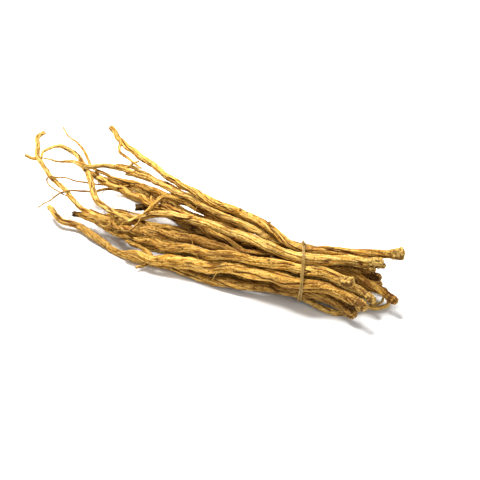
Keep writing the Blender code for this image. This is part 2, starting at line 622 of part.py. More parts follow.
def band_outline(strands):
    """The taut path of the band round every strand that crosses its plane, as points in that plane."""
    along, across, upward = band_axes()
    crossed = []
    for strand in strands:
        line = strand["line"]
        frames = ring_frames(line)
        for shift in (-BAND_WIDTH / 2, 0, BAND_WIDTH / 2):
            depth = (line[:, :3] - TIE) @ along - shift
            for i in np.nonzero(depth[:-1] * depth[1:] <= 0)[0]:
                share = depth[i] / (depth[i] - depth[i + 1])
                x, y, z, radius = line[i] + share * (line[i + 1] - line[i])
                heading = line[i + 1, :3] - line[i, :3]
                for angle in np.linspace(0, math.tau, 24, endpoint=False):
                    rim = np.array((x, y, z)) + (radius + BAND_CLEARANCE) * (
                        math.cos(angle) * frames[0][i] + math.sin(angle) * frames[1][i]
                    )
                    rim = rim - heading * ((rim - TIE) @ along - shift) / (heading @ along)
                    crossed.append(((rim - TIE) @ across, (rim - TIE) @ upward))
    outline = hull(crossed)
    closed = np.vstack([outline, outline[:1]])
    run = np.concatenate([[0], np.cumsum(np.linalg.norm(np.diff(closed, axis=0), axis=1))])
    wanted = np.linspace(0, run[-1], BAND_POINTS, endpoint=False)
    return np.column_stack([np.interp(wanted, run, column) for column in closed.T])


def make_band(strands):
    """Two turns of the rubber band side by side, swept round the bundle as one ring."""
    along, across, upward = band_axes()
    outline = band_outline(strands)
    half, low = BAND_WIDTH / 2, 0.55 * BAND_HEIGHT
    section = (
        (-half, 0), (half, 0), (half, low), (half / 2, BAND_HEIGHT),
        (0, low), (-half / 2, BAND_HEIGHT), (-half, low),
    )
    heading = np.roll(outline, -1, axis=0) - np.roll(outline, 1, axis=0)
    outward = np.column_stack([heading[:, 1], -heading[:, 0]])
    outward /= np.linalg.norm(outward, axis=1)[:, None]
    mesh = bmesh.new()
    rings = []
    for at, out in zip(outline, outward):
        ring = []
        for sideways, height in section:
            flat = at + out * height
            point = TIE + flat[0] * across + flat[1] * upward + sideways * along
            ring.append(mesh.verts.new(point * MM))
        rings.append(ring)
    for one, two in zip(rings, rings[1:] + rings[:1]):
        for i in range(len(section)):
            j = (i + 1) % len(section)
            mesh.faces.new((one[i], one[j], two[j], two[i]))
    bmesh.ops.recalc_face_normals(mesh, faces=mesh.faces)
    data = bpy.data.meshes.new("rubber_band")
    mesh.to_mesh(data)
    mesh.free()
    data.shade_smooth()
    data.materials.append(material("tan rubber", BAND_TAN, BAND_ROUGHNESS))
    band = bpy.data.objects.new("rubber_band", data)
    bpy.context.scene.collection.objects.link(band)
    return band


def centre_over_origin(objects):
    """Shifts the bundle so that the origin is under the middle of its box."""
    corners = np.array([tuple(v.co) for obj in objects for v in obj.data.vertices])
    low, high = corners.min(axis=0), corners.max(axis=0)
    middle = (low + high) / 2
    for obj in objects:
        for vertex in obj.data.vertices:
            vertex.co.x -= middle[0]
            vertex.co.y -= middle[1]
            vertex.co.z -= low[2]
    x, y, z = TIE - np.array((middle[0], middle[1], low[2])) / MM
    print(f"band's middle: {x:.2f}, {y:.2f}, {z:.2f} mm")


def main():
    clear_scene()
    strands = strands_of_roots()
    settle(strands)
    pieces = make_roots(strands)
    pieces.append(make_band(strands))
    centre_over_origin(pieces)


main()
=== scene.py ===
"""Dried codonopsis roots in a rubber band: the furrowed bark, warty crowns, rootlets and double band.

Metres and +Z up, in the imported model's frame. Each root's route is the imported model's own, so the fine
root lies where its plain solid lies. The crowns point to +X and the tails to -X.
"""

import json
import math
import random

import bmesh
import bpy
import numpy as np
from mathutils import Matrix, Vector

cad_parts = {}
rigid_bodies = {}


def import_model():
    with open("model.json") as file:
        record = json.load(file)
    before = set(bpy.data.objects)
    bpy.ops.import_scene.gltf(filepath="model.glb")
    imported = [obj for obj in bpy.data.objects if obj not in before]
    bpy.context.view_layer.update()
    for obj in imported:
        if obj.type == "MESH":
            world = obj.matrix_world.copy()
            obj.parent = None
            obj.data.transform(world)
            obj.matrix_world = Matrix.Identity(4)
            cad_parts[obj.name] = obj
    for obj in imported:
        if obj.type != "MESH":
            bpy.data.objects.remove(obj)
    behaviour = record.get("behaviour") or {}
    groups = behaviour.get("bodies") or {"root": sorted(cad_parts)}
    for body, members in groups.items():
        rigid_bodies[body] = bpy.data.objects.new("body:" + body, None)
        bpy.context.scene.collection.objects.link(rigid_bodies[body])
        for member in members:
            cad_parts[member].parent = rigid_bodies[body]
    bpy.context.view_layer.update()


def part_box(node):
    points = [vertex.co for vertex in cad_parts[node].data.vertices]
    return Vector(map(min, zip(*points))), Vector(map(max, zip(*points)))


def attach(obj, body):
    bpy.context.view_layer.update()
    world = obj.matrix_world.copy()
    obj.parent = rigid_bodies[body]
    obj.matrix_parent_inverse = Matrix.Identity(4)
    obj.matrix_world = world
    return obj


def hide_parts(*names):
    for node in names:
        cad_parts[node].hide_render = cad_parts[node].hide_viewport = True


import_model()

MM = 0.001

# Where each root runs. Each point is how far it lies to the right of the band's middle as the viewer sees
# it, how far above it in that view, its height over the surface and the radius there, in millimetres.
TIE = np.array((0.0, 0.0, 21.0))
SEEN_FROM = math.radians(25)
SEEN_FROM_ABOVE = math.radians(35)
SEEN_AT_DISTANCE = 850.0

# The plain strands: how far apart their stations are, the thinnest radius, the waves of their bends with
# the size of each, and how much fuller than drawn they are at either end. Lengths are in millimetres.
STATION = 7.0
FORK_STATION = 6.0
THINNEST = 0.62
GNARL_WAVES = ((26, 0.45), (41, 0.6), (75, 0.8))
TRUNK_GNARL = 1.0
FORK_GNARL = 0.8
CROWN_FULLNESS = 1.06
TAIL_FULLNESS = 1.32
CROWN_REACH = 12.5
CROWN_SWELL = 1.08

# How the strands settle: the gap they keep, the share of an overlap that a step pushes out, the longest
# move, how much of it goes across the line of sight, and how strongly the drawn shape is held there.
GAP = 0.42
SETTLING_STEPS = 420
PUSHED_APART = 0.45
LONGEST_MOVE = 0.8
ACROSS_SIGHT = 0.5
HELD_ACROSS_SIGHT = 0.01

# The band's squeeze lasts for the first steps. Smoothing fades before the last ones, which have none.
SQUEEZED_STEPS = 230
SQUEEZE_REACH = 20.0
SQUEEZE = 0.02
SMOOTHING = 0.4
SMOOTHING_FADES = 120
UNSMOOTHED_STEPS = 60

# The lowest roots lie on the surface, a little flattened, but leave room for the band under them.
FLAT_UNDERSIDE = 0.66
SPARE_UNDER_BAND = 0.3

# The plain band in millimetres, how far it lies off the roots, and how its plane is turned and leans.
BAND_WIDTH = 2.6
BAND_HEIGHT = 1.15
BAND_POINTS = 60
BAND_CLEARANCE = 0.38
BAND_TURN = math.radians(24)
BAND_LEAN = math.radians(5)

# The band's two turns: how fine and even their path is, how far each one's middle is from the band's, half
# its width and height, how round its edges are, how far it lies off the roots, and its fold on top.
FINE_BAND_POINTS = 640
BAND_SMOOTHINGS = 5
TURN_ASIDE = 0.66
TURN_HALF_WIDTH = 0.57
TURN_HALF_HEIGHT = 0.5
TURN_ROUNDNESS = 0.55
TURN_LIFT = 0.12
FOLD_HEIGHTS = (3.0, 0.5)
FOLD_WIDTH = 0.055

# Crown first, tail last. A fork starts inside the trunk or fork that it grows from.
ROOTS = {
    "root_01": {
        "tint": "golden",
        "trunk": (
            (72.5, 12.2, 37, 5.0), (68.5, 12.2, 37, 4.5), (60, 12.2, 37, 3.4), (41, 13.1, 37, 3.1),
            (23, 13.9, 36.5, 3.1),
            (1.5, 14.8, 36, 3.0), (-9.5, 18.2, 36, 3.0), (-14.2, 22.6, 36.5, 2.9), (-22.2, 30, 37, 2.8),
            (-30.2, 35.2, 37, 2.8), (-40.5, 39.5, 37, 2.8), (-51, 44, 37, 2.7), (-62.1, 48.3, 37, 2.6),
            (-75.7, 55, 37, 2.6), (-91.4, 64.2, 37, 2.4), (-108.7, 76, 37, 2.3), (-118.8, 84, 38, 2.3),
            (-130, 95, 41, 2.1), (-138.5, 103.4, 46, 1.8),
        ),
        "forks": (
            ((-130, 95, 41, 1.2), (-131.5, 88, 40, 1.1), (-129, 83.5, 39, 1.0), (-123, 78.5, 38, 0.9),
             (-115, 74, 37.5, 0.7)),
            ((-38, 38.5, 37, 1.3), (-41.5, 41.8, 39, 1.2), (-44.5, 43.8, 41, 0.9)),
        ),
    },
    "root_02": {
        "tint": "straw",
        "trunk": (
            (56.9, 7.0, 35, 2.8), (49.7, 7.2, 35, 3.0), (33.8, 7.6, 34.5, 3.5), (15.8, 7.7, 34.5, 3.6),
            (0.7, 8.0, 35, 3.5), (-10.2, 10.8, 35, 3.4), (-22.2, 15.2, 36, 3.3), (-34.1, 21.6, 36.5, 3.3),
            (-46.2, 26.8, 36.5, 3.2), (-59, 31.0, 36, 3.1), (-72, 35.0, 34.5, 3.0), (-86.2, 38.8, 33, 2.8),
            (-100, 41.2, 31.5, 2.5), (-111.6, 40.3, 29, 2.3),
            (-126.7, 36.7, 26, 2.1), (-143.3, 38.9, 24, 1.9), (-157, 44.6, 23, 1.9), (-172, 59, 24, 1.7),
            (-185, 73.4, 26, 1.8), (-191.5, 84.2, 29, 1.8), (-193, 92.5, 32, 1.7), (-191.2, 97.3, 34, 1.6),
            (-186, 99.8, 35, 1.5),
        ),
        "forks": (
            ((-126.7, 36.7, 26, 1.6), (-134, 40.5, 27, 1.7), (-142, 45.4, 28, 1.9), (-148.2, 51.1, 29, 2.1),
             (-149.8, 58, 29.5, 2.2), (-151.6, 66, 30, 2.3), (-154, 73, 31, 2.2), (-160.6, 82, 32, 1.7),
             (-170.6, 88.6, 34, 1.5), (-178, 91, 35, 1.3), (-185, 88, 36, 1.1), (-188, 81.4, 36, 0.9)),
            ((-190.9, 83, 28.5, 1.3), (-196, 82, 30, 1.2), (-200.5, 84, 32, 1.1)),
        ),
    },
    "root_03": {
        "tint": "golden",
        "trunk": (
            (36.5, -7.6, 28, 4.2), (31.7, -7.2, 28, 3.6), (26.6, -5, 28.5, 3.5), (15.8, -1.1, 28.5, 3.5),
            (2.2, 1.1, 28.5, 3.5), (-9.4, 3.6, 28.5, 3.3), (-28.4, 5.4, 27, 3.2), (-50.4, 8.6, 23, 3.1),
            (-64, 10, 21, 3.1), (-74.2, 13.7, 20, 3.1), (-99.4, 17.6, 18, 2.8), (-109.4, 21.6, 17, 2.6),
            (-119.5, 23.8, 15, 2.4), (-134, 29.4, 13, 2.2), (-144.7, 34, 11, 2.1), (-153.4, 38, 10, 2.1),
            (-165, 41.5, 9, 2.0),
        ),
        "forks": (
            ((-19.4, 4.8, 27.5, 1.6), (-20, 8.6, 29.5, 1.3), (-21.5, 11, 31, 0.9)),
            ((-109.4, 21.6, 17, 1.4), (-119, 29, 19, 1.2), (-129, 35, 20, 1.1), (-136, 41.5, 21, 0.9),
             (-143, 42.5, 22, 0.7)),
        ),
    },
    "root_04": {
        "tint": "golden",
        "trunk": (
            (44.6, -25.9, 16, 4.4), (38.9, -22.3, 16.5, 4.2), (26.6, -15.2, 17, 4.3), (15.8, -11, 17.5, 4.3),
            (-0.7, -8.4, 18, 4.3), (-11.9, -4.6, 18, 4.4), (-23, -1.2, 17.5, 4.4), (-45, 2.8, 16, 4.5),
            (-67, 5.2, 13.5, 4.3), (-79.2, 7, 12.5, 4.0), (-94.3, 8.6, 11, 3.5), (-104.4, 9.0, 10, 3.0),
            (-113, 9.6, 9, 2.5), (-121, 11.4, 8, 1.9), (-129, 13.8, 7, 1.2),
        ),
        "forks": (
            ((-104.4, 9.0, 10, 1.6), (-111, 14, 11, 1.4), (-118, 18.5, 12, 1.1), (-125, 22.5, 12.5, 0.8)),
        ),
    },
    "root_05": {
        "tint": "grey",
        "trunk": (
            (36.5, -34, 3.4, 4.3), (30.2, -28.8, 3.8, 4.0), (23, -23.8, 5, 4.0), (12.2, -19.4, 7, 3.9),
            (0, -17, 8, 3.8), (-11.9, -16, 7, 3.4), (-23, -14.6, 5.4, 3.3), (-45.4, -11.4, 4, 3.3),
            (-59, -9, 2.6, 3.3), (-73.4, -5, 2, 3.2), (-90, 0.8, 2, 3.0), (-109.4, 6.4, 2, 2.8),
            (-127.4, 11.5, 1.8, 2.7), (-136, 14.5, 2, 2.6), (-149, 23.3, 3, 2.5), (-158, 31, 4.5, 2.4),
            (-167.8, 34.6, 6, 2.2), (-175.8, 38, 8, 2.1), (-183, 46, 10, 2.0),
        ),
        "forks": (((-109.4, 6.4, 2, 1.2), (-114, 2.5, 2, 1.0), (-119, 1.5, 1.8, 0.8)),),
    },
    "root_06": {
        "tint": "straw",
        "trunk": (
            (58.3, -1.4, 25, 2.9), (45.4, 0.7, 27, 3.2), (30.2, 3.6, 28, 3.4), (3, 10.6, 29, 3.4),
            (-11.5, 15.6, 30, 3.1), (-21, 19.5, 31, 2.9), (-30.2, 24.3, 32, 2.7), (-42.2, 30.9, 33, 2.5),
            (-54.2, 37, 32, 2.4), (-65.4, 42.7, 31, 2.3), (-78, 49.3, 31, 2.2), (-95.8, 58, 31, 2.1),
            (-111.6, 66.2, 31, 1.9), (-124.6, 71.6, 32, 1.9), (-137.5, 73.8, 33, 1.7), (-148, 73.8, 34, 1.6),
            (-156, 75, 35, 1.6), (-165.4, 78.6, 35.5, 1.4), (-171, 79.3, 35.5, 1.0), (-178, 79.4, 35, 0.75),
            (-187, 80.8, 34.5, 0.6),
        ),
        "forks": (
            ((-126, 72, 32, 1.1), (-121.5, 76.8, 33, 0.9), (-116.6, 78, 34, 0.7)),
            ((-30.2, 24.3, 32, 1.3), (-27, 29, 34, 1.1), (-23.5, 33, 34.5, 0.8)),
        ),
    },
    "root_07": {
        "tint": "brown",
        "trunk": (
            (56.2, -6.5, 20, 3.1), (46, -2.9, 21, 3.4), (30.2, 0.7, 23, 3.5), (1, 7.4, 28, 3.5),
            (-16.6, 7.6, 27, 3.3), (-28.4, 8.2, 25, 3.2), (-41.8, 9.6, 23, 3.2), (-54, 13.6, 23, 3.3),
            (-66, 18.0, 24, 3.4), (-77, 21.6, 25, 3.4), (-94.3, 24.5, 24, 3.1), (-104.4, 27.4, 23, 2.8),
            (-112.3, 28.8, 22, 2.5), (-124.6, 31.2, 20, 2.0), (-134, 33.6, 18, 1.5), (-142, 35.5, 16, 0.9),
        ),
        "forks": (
            ((-104.4, 27.4, 23, 1.5), (-112, 34, 23, 1.3), (-120, 37.5, 24, 1.1), (-128, 38.5, 26, 0.9),
             (-133, 34, 28, 0.8), (-129, 29.5, 29, 0.7)),
        ),
    },
    "root_08": {
        "tint": "golden",
        "trunk": (
            (67, -21.6, 9, 3.4), (57.6, -14.4, 13, 3.2), (47.5, -9.4, 17, 3.2), (38.9, -3.5, 21, 3.2),
            (26.6, 0, 24, 3.3), (0, 3.6, 27, 3.3), (-20, 6, 22, 3.2), (-41.8, 12.8, 19, 3.1),
            (-59, 24, 22, 3.1), (-74.2, 34.5, 25, 3.1), (-88.6, 41, 26, 2.9), (-101.5, 46, 25, 2.8),
            (-108.7, 48.5, 25, 2.8), (-116.6, 53.4, 25, 2.8), (-129.6, 60.4, 26, 2.7), (-138, 63, 27, 2.6),
            (-146, 66.8, 28, 2.5), (-152, 72.5, 29, 2.1),
        ),
        "forks": (
            ((-106, 47, 25, 1.5), (-108.5, 56, 27, 1.5), (-114, 60.5, 28, 1.5), (-120, 63.6, 29, 1.4),
             (-127, 65.2, 29, 1.4), (-134, 66.2, 30, 1.3)),
        ),
    },
    "root_09": {
        "tint": "straw",
        "trunk": (
            (51, -20.9, 13, 3.4), (42.5, -14.4, 16, 3.2), (33.8, -10, 19, 3.1), (19.4, -5.8, 21, 3.2),
            (0, -3.5, 21, 3.3), (-19.4, 0.7, 19.5, 3.3), (-41.8, 4.2, 17, 3.2), (-64, 8.8, 14, 3.1),
            (-79.2, 9.4, 13, 3.0), (-94.3, 13, 12, 2.8), (-114.5, 18.7, 11, 2.4), (-127, 24.2, 11, 1.8),
            (-137, 29.4, 10, 1.3), (-145, 34, 9.5, 0.9),
        ),
        "forks": (
            ((-127, 24.2, 11, 1.2), (-132, 33, 13, 1.0), (-140, 39, 15, 0.9), (-148, 40, 17, 0.7)),
        ),
    },
    "root_10": {
        "tint": "golden",
        "trunk": (
            (62, -11.5, 15, 2.9), (54, -8.2, 17, 3.1), (33.8, -3.6, 19, 3.3), (0, 2, 21, 3.3),
            (-20, 15, 23, 3.2), (-45, 32, 27, 3.0), (-74, 45.3, 28, 2.8), (-97, 54, 28, 2.5),
            (-120, 60.5, 29, 2.0), (-138, 66, 30, 1.5), (-148.5, 72, 31, 1.3), (-156, 82, 33, 1.0),
            (-161, 89, 34, 0.8), (-167.5, 96, 35, 0.7), (-172.8, 103.6, 37, 0.6),
        ),
        "forks": (
            ((-120, 60.5, 29, 1.2), (-127, 59.5, 24, 0.9), (-140, 60.5, 21, 0.7), (-152, 61.8, 22, 0.6),
             (-165, 65, 24, 0.6), (-178, 66.4, 26, 0.6)),
            ((-80, 48, 28, 1.6), (-90, 52, 31.5, 1.5), (-98.5, 53.6, 33, 1.5), (-104.5, 50, 33.5, 1.4),
             (-110, 43.8, 33, 1.2), (-113, 41, 32.5, 1.0)),
        ),
    },
    "root_11": {
        "tint": "straw",
        "trunk": (
            (-94, 7.6, 6.5, 2.3), (-78, 2.2, 7, 2.8), (-62, -2.2, 8, 3.1), (-48, -5.2, 8, 3.1),
            (-30, -9.6, 7, 2.8), (-14, -14.6, 5.5, 2.5), (-3, -19.8, 4.4, 2.1),
            (8.6, -26.4, 3, 1.8), (17.3, -30, 2.2, 1.7), (30.2, -31.4, 1.8, 1.6), (45.4, -28.8, 1.6, 1.5),
            (55.4, -28, 1.5, 1.3), (60.5, -25.9, 1.5, 1.1), (61.2, -21.6, 2, 0.8),
        ),
        "forks": (
            ((45.4, -28.6, 1.6, 1.0), (52, -25, 2.2, 0.9), (57.5, -23.5, 3, 0.8), (59, -20, 4, 0.7)),
        ),
    },
    "root_12": {
        "tint": "golden",
        "trunk": (
            (49.7, -13.7, 9, 3.2), (30, -5, 14, 3.4), (-4, 4.4, 21, 3.4), (-30, 15, 21, 3.2),
            (-60, 29, 20, 2.9), (-90, 38.5, 19, 2.6), (-106, 45, 20, 2.3), (-116, 51, 21, 1.9),
            (-128, 57.2, 22, 1.4), (-139, 59.5, 22.5, 1.0), (-150, 58.4, 23, 0.7), (-165.4, 57.5, 23.5, 0.6),
            (-173.4, 55.5, 24, 0.55), (-182, 50.8, 25, 0.5), (-191.4, 45.5, 26, 0.5),
        ),
        "forks": (
            ((-106, 45, 20, 2.2), (-112.5, 46, 20, 2.3), (-119.5, 45.8, 20, 2.2)),
        ),
    },
    "root_13": {
        "tint": "straw",
        "trunk": (
            (53, -2.8, 11, 3.1), (30, 2, 15, 3.3), (7, 8.8, 21, 3.3), (-12, 17.5, 24, 3.1),
            (-22, 25, 28, 2.9), (-34.2, 31.8, 30.5, 2.8), (-49.4, 39.8, 31, 2.6), (-65.4, 47, 31, 2.4),
            (-83.8, 55.3, 30, 2.0), (-100, 63.5, 30, 1.8), (-114, 70.5, 31, 1.5), (-125, 75, 32, 1.2),
            (-134, 78, 33, 0.8),
        ),
        "forks": (
            ((-100, 63.5, 30, 1.2), (-109, 65, 27, 1.1), (-118, 67.5, 24, 1.0), (-127, 68.5, 22, 0.8)),
        ),
    },
    "root_14": {
        "tint": "grey",
        "trunk": (
            (40, -22, 9, 3.8), (20, -14, 11, 3.7), (-2, -8.4, 13.5, 3.7), (-25, -1, 11, 3.6),
            (-55, 8, 8.5, 3.4), (-85, 16, 7, 3.1), (-110, 22, 6, 2.6), (-128, 29.5, 5, 1.9),
            (-141, 35.5, 5, 1.3), (-151, 40, 6, 0.9),
        ),
        "forks": (
            ((-110, 22, 6, 1.3), (-121, 24, 5, 1.1), (-131, 28, 6, 0.9), (-140, 31.5, 7, 0.7)),
        ),
    },
    "root_15": {
        "tint": "golden",
        "trunk": (
            (48.7, -20.3, 6, 3.7), (25, -10, 10, 3.6), (2, -3.9, 13.5, 3.7), (-25, 7, 13, 3.6),
            (-55, 17, 12, 3.4), (-85, 27, 11, 3.1), (-110, 34, 11, 2.6), (-128, 37.5, 12, 2.1),
            (-142, 39, 13, 1.6), (-153, 43, 14, 1.2),
        ),
        "forks": (
            ((-110, 34, 11, 1.4), (-120, 38.5, 12, 1.3), (-130, 42, 12, 1.1), (-139, 43.5, 12, 0.8)),
        ),
    },
    "root_16": {
        "tint": "straw",
        "trunk": (
            (57, -13, 7, 3.1), (30, -4, 10, 3.4), (5, 0.5, 13.5, 3.4), (-20, 10, 13, 3.8),
            (-50, 24.5, 12, 3.8), (-80, 39, 11, 3.2), (-108, 54, 11, 2.2), (-128, 62, 12, 1.7),
            (-142, 67, 13, 1.3), (-152, 71.5, 15, 0.9),
        ),
        "forks": (
            ((-108, 54, 11, 1.3), (-118, 56.5, 10, 1.1), (-128, 61, 10, 0.9), (-137, 63.5, 11, 0.7)),
        ),
    },
    "root_17": {
        "tint": "brown",
        "trunk": (
            (42.5, -24, 3.2, 3.6), (20, -17, 5, 3.6), (0, -11.9, 7, 3.7), (-25, -5, 5, 3.6),
            (-55, 4, 3.2, 3.5), (-85, 14, 2.8, 3.2), (-110, 23, 2.5, 2.7), (-126, 30, 2.2, 2.1),
            (-138, 35, 2.2, 1.5), (-148, 38.5, 3, 1.0),
        ),
        "forks": (
            ((-110, 23, 2.5, 1.3), (-120, 22.5, 2, 1.2), (-130, 25, 2, 1.0), (-138, 29, 2, 0.8)),
        ),
    },
    "root_18": {
        "tint": "grey",
        "trunk": (
            (44.7, -13.2, 3.2, 3.6), (25, -9, 5, 3.5), (4, -7.5, 7, 3.6), (-20, 4, 5.5, 3.5),
            (-50, 18, 3.4, 3.9), (-80, 32, 2.6, 3.4), (-108, 47.5, 2.2, 2.3), (-128, 57.8, 2, 1.8),
            (-141, 64, 2, 1.3), (-151, 69.5, 2.5, 0.9),
        ),
        "forks": (
            ((-108, 47.5, 2.2, 1.2), (-119, 50.5, 2, 1.0), (-130, 56, 2.4, 0.8)),
        ),
    },
}

# The long hair-thin rootlets at the tails, drawn as the routes are, each from the root that it starts on.
THREADS = {
    "root_02": (
        ((-111.6, 40.3, 29, 0.6), (-121, 42.5, 29, 0.6), (-129, 44.5, 29, 0.55), (-137, 45.4, 29, 0.5)),
        ((-116, 38.5, 29, 0.7), (-119, 33.5, 31, 0.65), (-123.5, 29.5, 32, 0.6), (-128.5, 29, 32.5, 0.6),
         (-130.5, 33, 32, 0.55), (-126.5, 35.6, 31.5, 0.5)),
        ((-138, 38, 26, 0.7), (-141, 34, 28, 0.65), (-146, 34.4, 29, 0.6), (-150, 38.5, 29, 0.55),
         (-156, 40.5, 29, 0.5)),
    ),
    "root_10": (
        ((-174, 66, 29, 0.62), (-181.7, 66.6, 29, 0.6), (-184.4, 64.8, 28.5, 0.6), (-181.7, 59.8, 27, 0.58),
         (-175, 55.4, 26, 0.55), (-169, 52.5, 26, 0.5)),
    ),
    "root_12": (((-126.7, 55.3, 22, 0.6), (-133, 58.5, 24, 0.55), (-139, 61, 26, 0.5)),),
}

# How much thicker than drawn the threads are, and how greyed.
THREAD_FULLNESS = 1.25
THREAD_TONE = 0.75

# The dark knobs that catch the eye: how far right and up each is seen, how dark it is and its reach.
KNOBS = {
    "root_01": ((-40.3, 41.8, 0.9, 1.8),),
    "root_02": ((48.2, 7.9, 0.8, 0.9),),
    "root_03": ((-20, 5.8, 1.3, 2.2),),
    "root_04": ((-41.4, -1.4, 0.7, 0.8), (-48, 0.8, 0.6, 0.8)),
    "root_05": ((-73.4, -4.4, 0.8, 1.7),),
    "root_06": ((-60, 39.5, 0.9, 1.7),),
}

# The ends that are dark and look singed: how many millimetres of a root's trunk, strand 0, or of a fork.
DARK_ENDS = {"root_03": {0: 8, 1: 8}, "root_08": {1: 8}, "root_12": {1: 16}}

# How greyed and aged a root is at its crown's end, behind the crown, halfway and at its tail, from 0 to 1.
TONES = {
    "root_01": (0.1, 0.1, 0.1, 0.05), "root_02": (0.4, 0.0, 0.0, 0.0), "root_03": (0.3, 0.15, 0.6, 0.15),
    "root_04": (0.6, 0.8, 0.1, 0.2), "root_05": (1.0, 0.95, 0.3, 0.1), "root_06": (0.8, 0.3, 0.3, 0.0),
    "root_07": (0.9, 0.8, 0.85, 0.2), "root_08": (1.0, 1.0, 0.75, 0.0), "root_09": (0.6, 0.5, 0.6, 0.25),
    "root_10": (0.7, 0.3, 0.35, 0.3), "root_11": (0.2, 0.3, 0.2, 0.1), "root_12": (0.7, 0.4, 0.4, 0.5),
    "root_13": (0.7, 0.3, 0.45, 0.05), "root_14": (0.8, 0.7, 0.5, 0.2), "root_15": (0.6, 0.4, 0.6, 0.1),
    "root_16": (0.7, 0.4, 0.6, 0.1), "root_17": (0.8, 0.6, 0.5, 0.2), "root_18": (0.8, 0.7, 0.6, 0.2),
}

# The shape of each kind of strand. rows: how far the closely wrinkled neck reaches, and how far apart its
# rows and the others are. sides: how many it has round it. kinks: how far its middle strays at either end.
# The rest say how many millimetres there are from one mark to the next.
KINDS = {
    "trunk": {
        "rows": (50, 0.42, 0.72), "sides": 54, "kinks": (0.12, 0.5),
        "lenticel_every": 4, "scar_every": 38, "rootlet_every": 36,
    },
    "under": {
        "rows": (30, 0.6, 1.0), "sides": 42, "kinks": (0.12, 0.4),
        "lenticel_every": 5, "scar_every": 45, "rootlet_every": 40,
    },
    "fork": {
        "rows": (1, 0.6, 0.6), "sides": 24, "kinks": (0.35, 0.5),
        "lenticel_every": 5, "scar_every": 50, "rootlet_every": 24,
    },
    "thread": {
        "rows": (1, 0.6, 0.6), "sides": 10, "kinks": (0.25, 0.25),
        "lenticel_every": 9, "scar_every": 99, "rootlet_every": 99,
    },
    "rootlet": {
        "rows": (1, 0.5, 0.5), "sides": 8, "kinks": (0, 0),
        "lenticel_every": 99, "scar_every": 99, "rootlet_every": 99,
    },
}

# The roots whose trunks are of the kind under: little of them is seen.
LOWER_ROOTS = ("root_13", "root_14", "root_15", "root_16", "root_17", "root_18")

# How far along the bark's pattern each root, and each strand of a root, starts past the one before, in mm.
ROOT_APART = 400
STRAND_APART = 60

# How deep each kind of relief is: the share of the radius there, and the most in millimetres.
FURROWS = (0.3, 1.15)
SOFT_HOLLOWS = (0.12, 0.45)
FINE_WRINKLES = (0.1, 0.34)
SMALL_LUMPS = (0.05, 0.16)
LARGE_LUMPS = (0.07, 0.24)
OUT_OF_ROUND = 0.06
RINGS_AT_CROWN = 0.1
RINGS_EVERYWHERE = 0.04
HIGHEST_LENTICEL = 0.2
PIT_IN_SCAR = 0.55
THINNEST_LEFT = 0.4

# The crown: how many lumps it has and how far back they reach in millimetres.
WARTS = 95
WARTY_REACH = 9

# The crown's outline: distance from its end in mm, and share of the root's radius there.
CROWN = ((0.0, 0.74), (0.8, 0.92), (3.0, 1.02), (5.6, 1.0), (8.5, 0.92), (12.5, 0.93), (18.0, 1.0))

# The colours of each tint: the bark's ridges, the skin between them, the dark of its streaks, cracks and
# specks that is also the painted shade in the furrows, where it is aged or reddish, and the lumps of the
# crown.
TINTS = {
    "golden": {
        "Light": (0.89, 0.56, 0.140), "Middle": (0.54, 0.245, 0.020), "Dark Marks And Furrow Shade": (0.065, 0.015, 0.001),
        "Aged": (0.25, 0.120, 0.017), "Reddish": (0.36, 0.110, 0.014), "Crown Lump": (0.56, 0.36, 0.10),
    },
    "straw": {
        "Light": (0.90, 0.61, 0.180), "Middle": (0.60, 0.300, 0.032), "Dark Marks And Furrow Shade": (0.075, 0.019, 0.002),
        "Aged": (0.29, 0.150, 0.024), "Reddish": (0.40, 0.135, 0.020), "Crown Lump": (0.57, 0.39, 0.12),
    },
    "brown": {
        "Light": (0.64, 0.370, 0.090), "Middle": (0.38, 0.165, 0.016), "Dark Marks And Furrow Shade": (0.050, 0.012, 0.001),
        "Aged": (0.195, 0.095, 0.015), "Reddish": (0.26, 0.082, 0.014), "Crown Lump": (0.38, 0.24, 0.075),
    },
    "grey": {
        "Light": (0.83, 0.520, 0.135), "Middle": (0.54, 0.255, 0.032), "Dark Marks And Furrow Shade": (0.052, 0.013, 0.001),
        "Aged": (0.20, 0.100, 0.017), "Reddish": (0.28, 0.088, 0.016), "Crown Lump": (0.39, 0.26, 0.09),
    },
}

SCAR_COLOUR = (0.018, 0.010, 0.006)
RUBBER_DARK = (0.20, 0.11, 0.016)
RUBBER_LIGHT = (0.32, 0.19, 0.034)
RUBBER_WORN = (0.45, 0.28, 0.075)
FLOOR_COLOUR = (0.86, 0.86, 0.85)

# The lens in millimetres, and the point it is aimed at: how far right of the tie and above it in the view.
CAMERA_LENS = 88.9
CAMERA_AIM = (-44.0, 21.9)


def view_axes():
    """The viewer's right, up and back directions."""
    right = np.array((math.cos(SEEN_FROM), math.sin(SEEN_FROM), 0))
    level = math.cos(SEEN_FROM_ABOVE)
    back = np.array((math.sin(SEEN_FROM) * level, -math.cos(SEEN_FROM) * level, math.sin(SEEN_FROM_ABOVE)))
    return right, np.cross(back, right), back


def placed(route):
    """The route's points in the part's own millimetres: x, y, z and the radius."""
    route = np.array(route, float)
    right, upward, back = view_axes()
    eye = TIE + SEEN_AT_DISTANCE * back
    aimed = TIE + route[:, :1] * right + route[:, 1:2] * upward
    reach = (route[:, 2] - eye[2]) / (aimed[:, 2] - eye[2])
    points = eye + reach[:, None] * (aimed - eye)
    return np.column_stack([points, route[:, 3]])


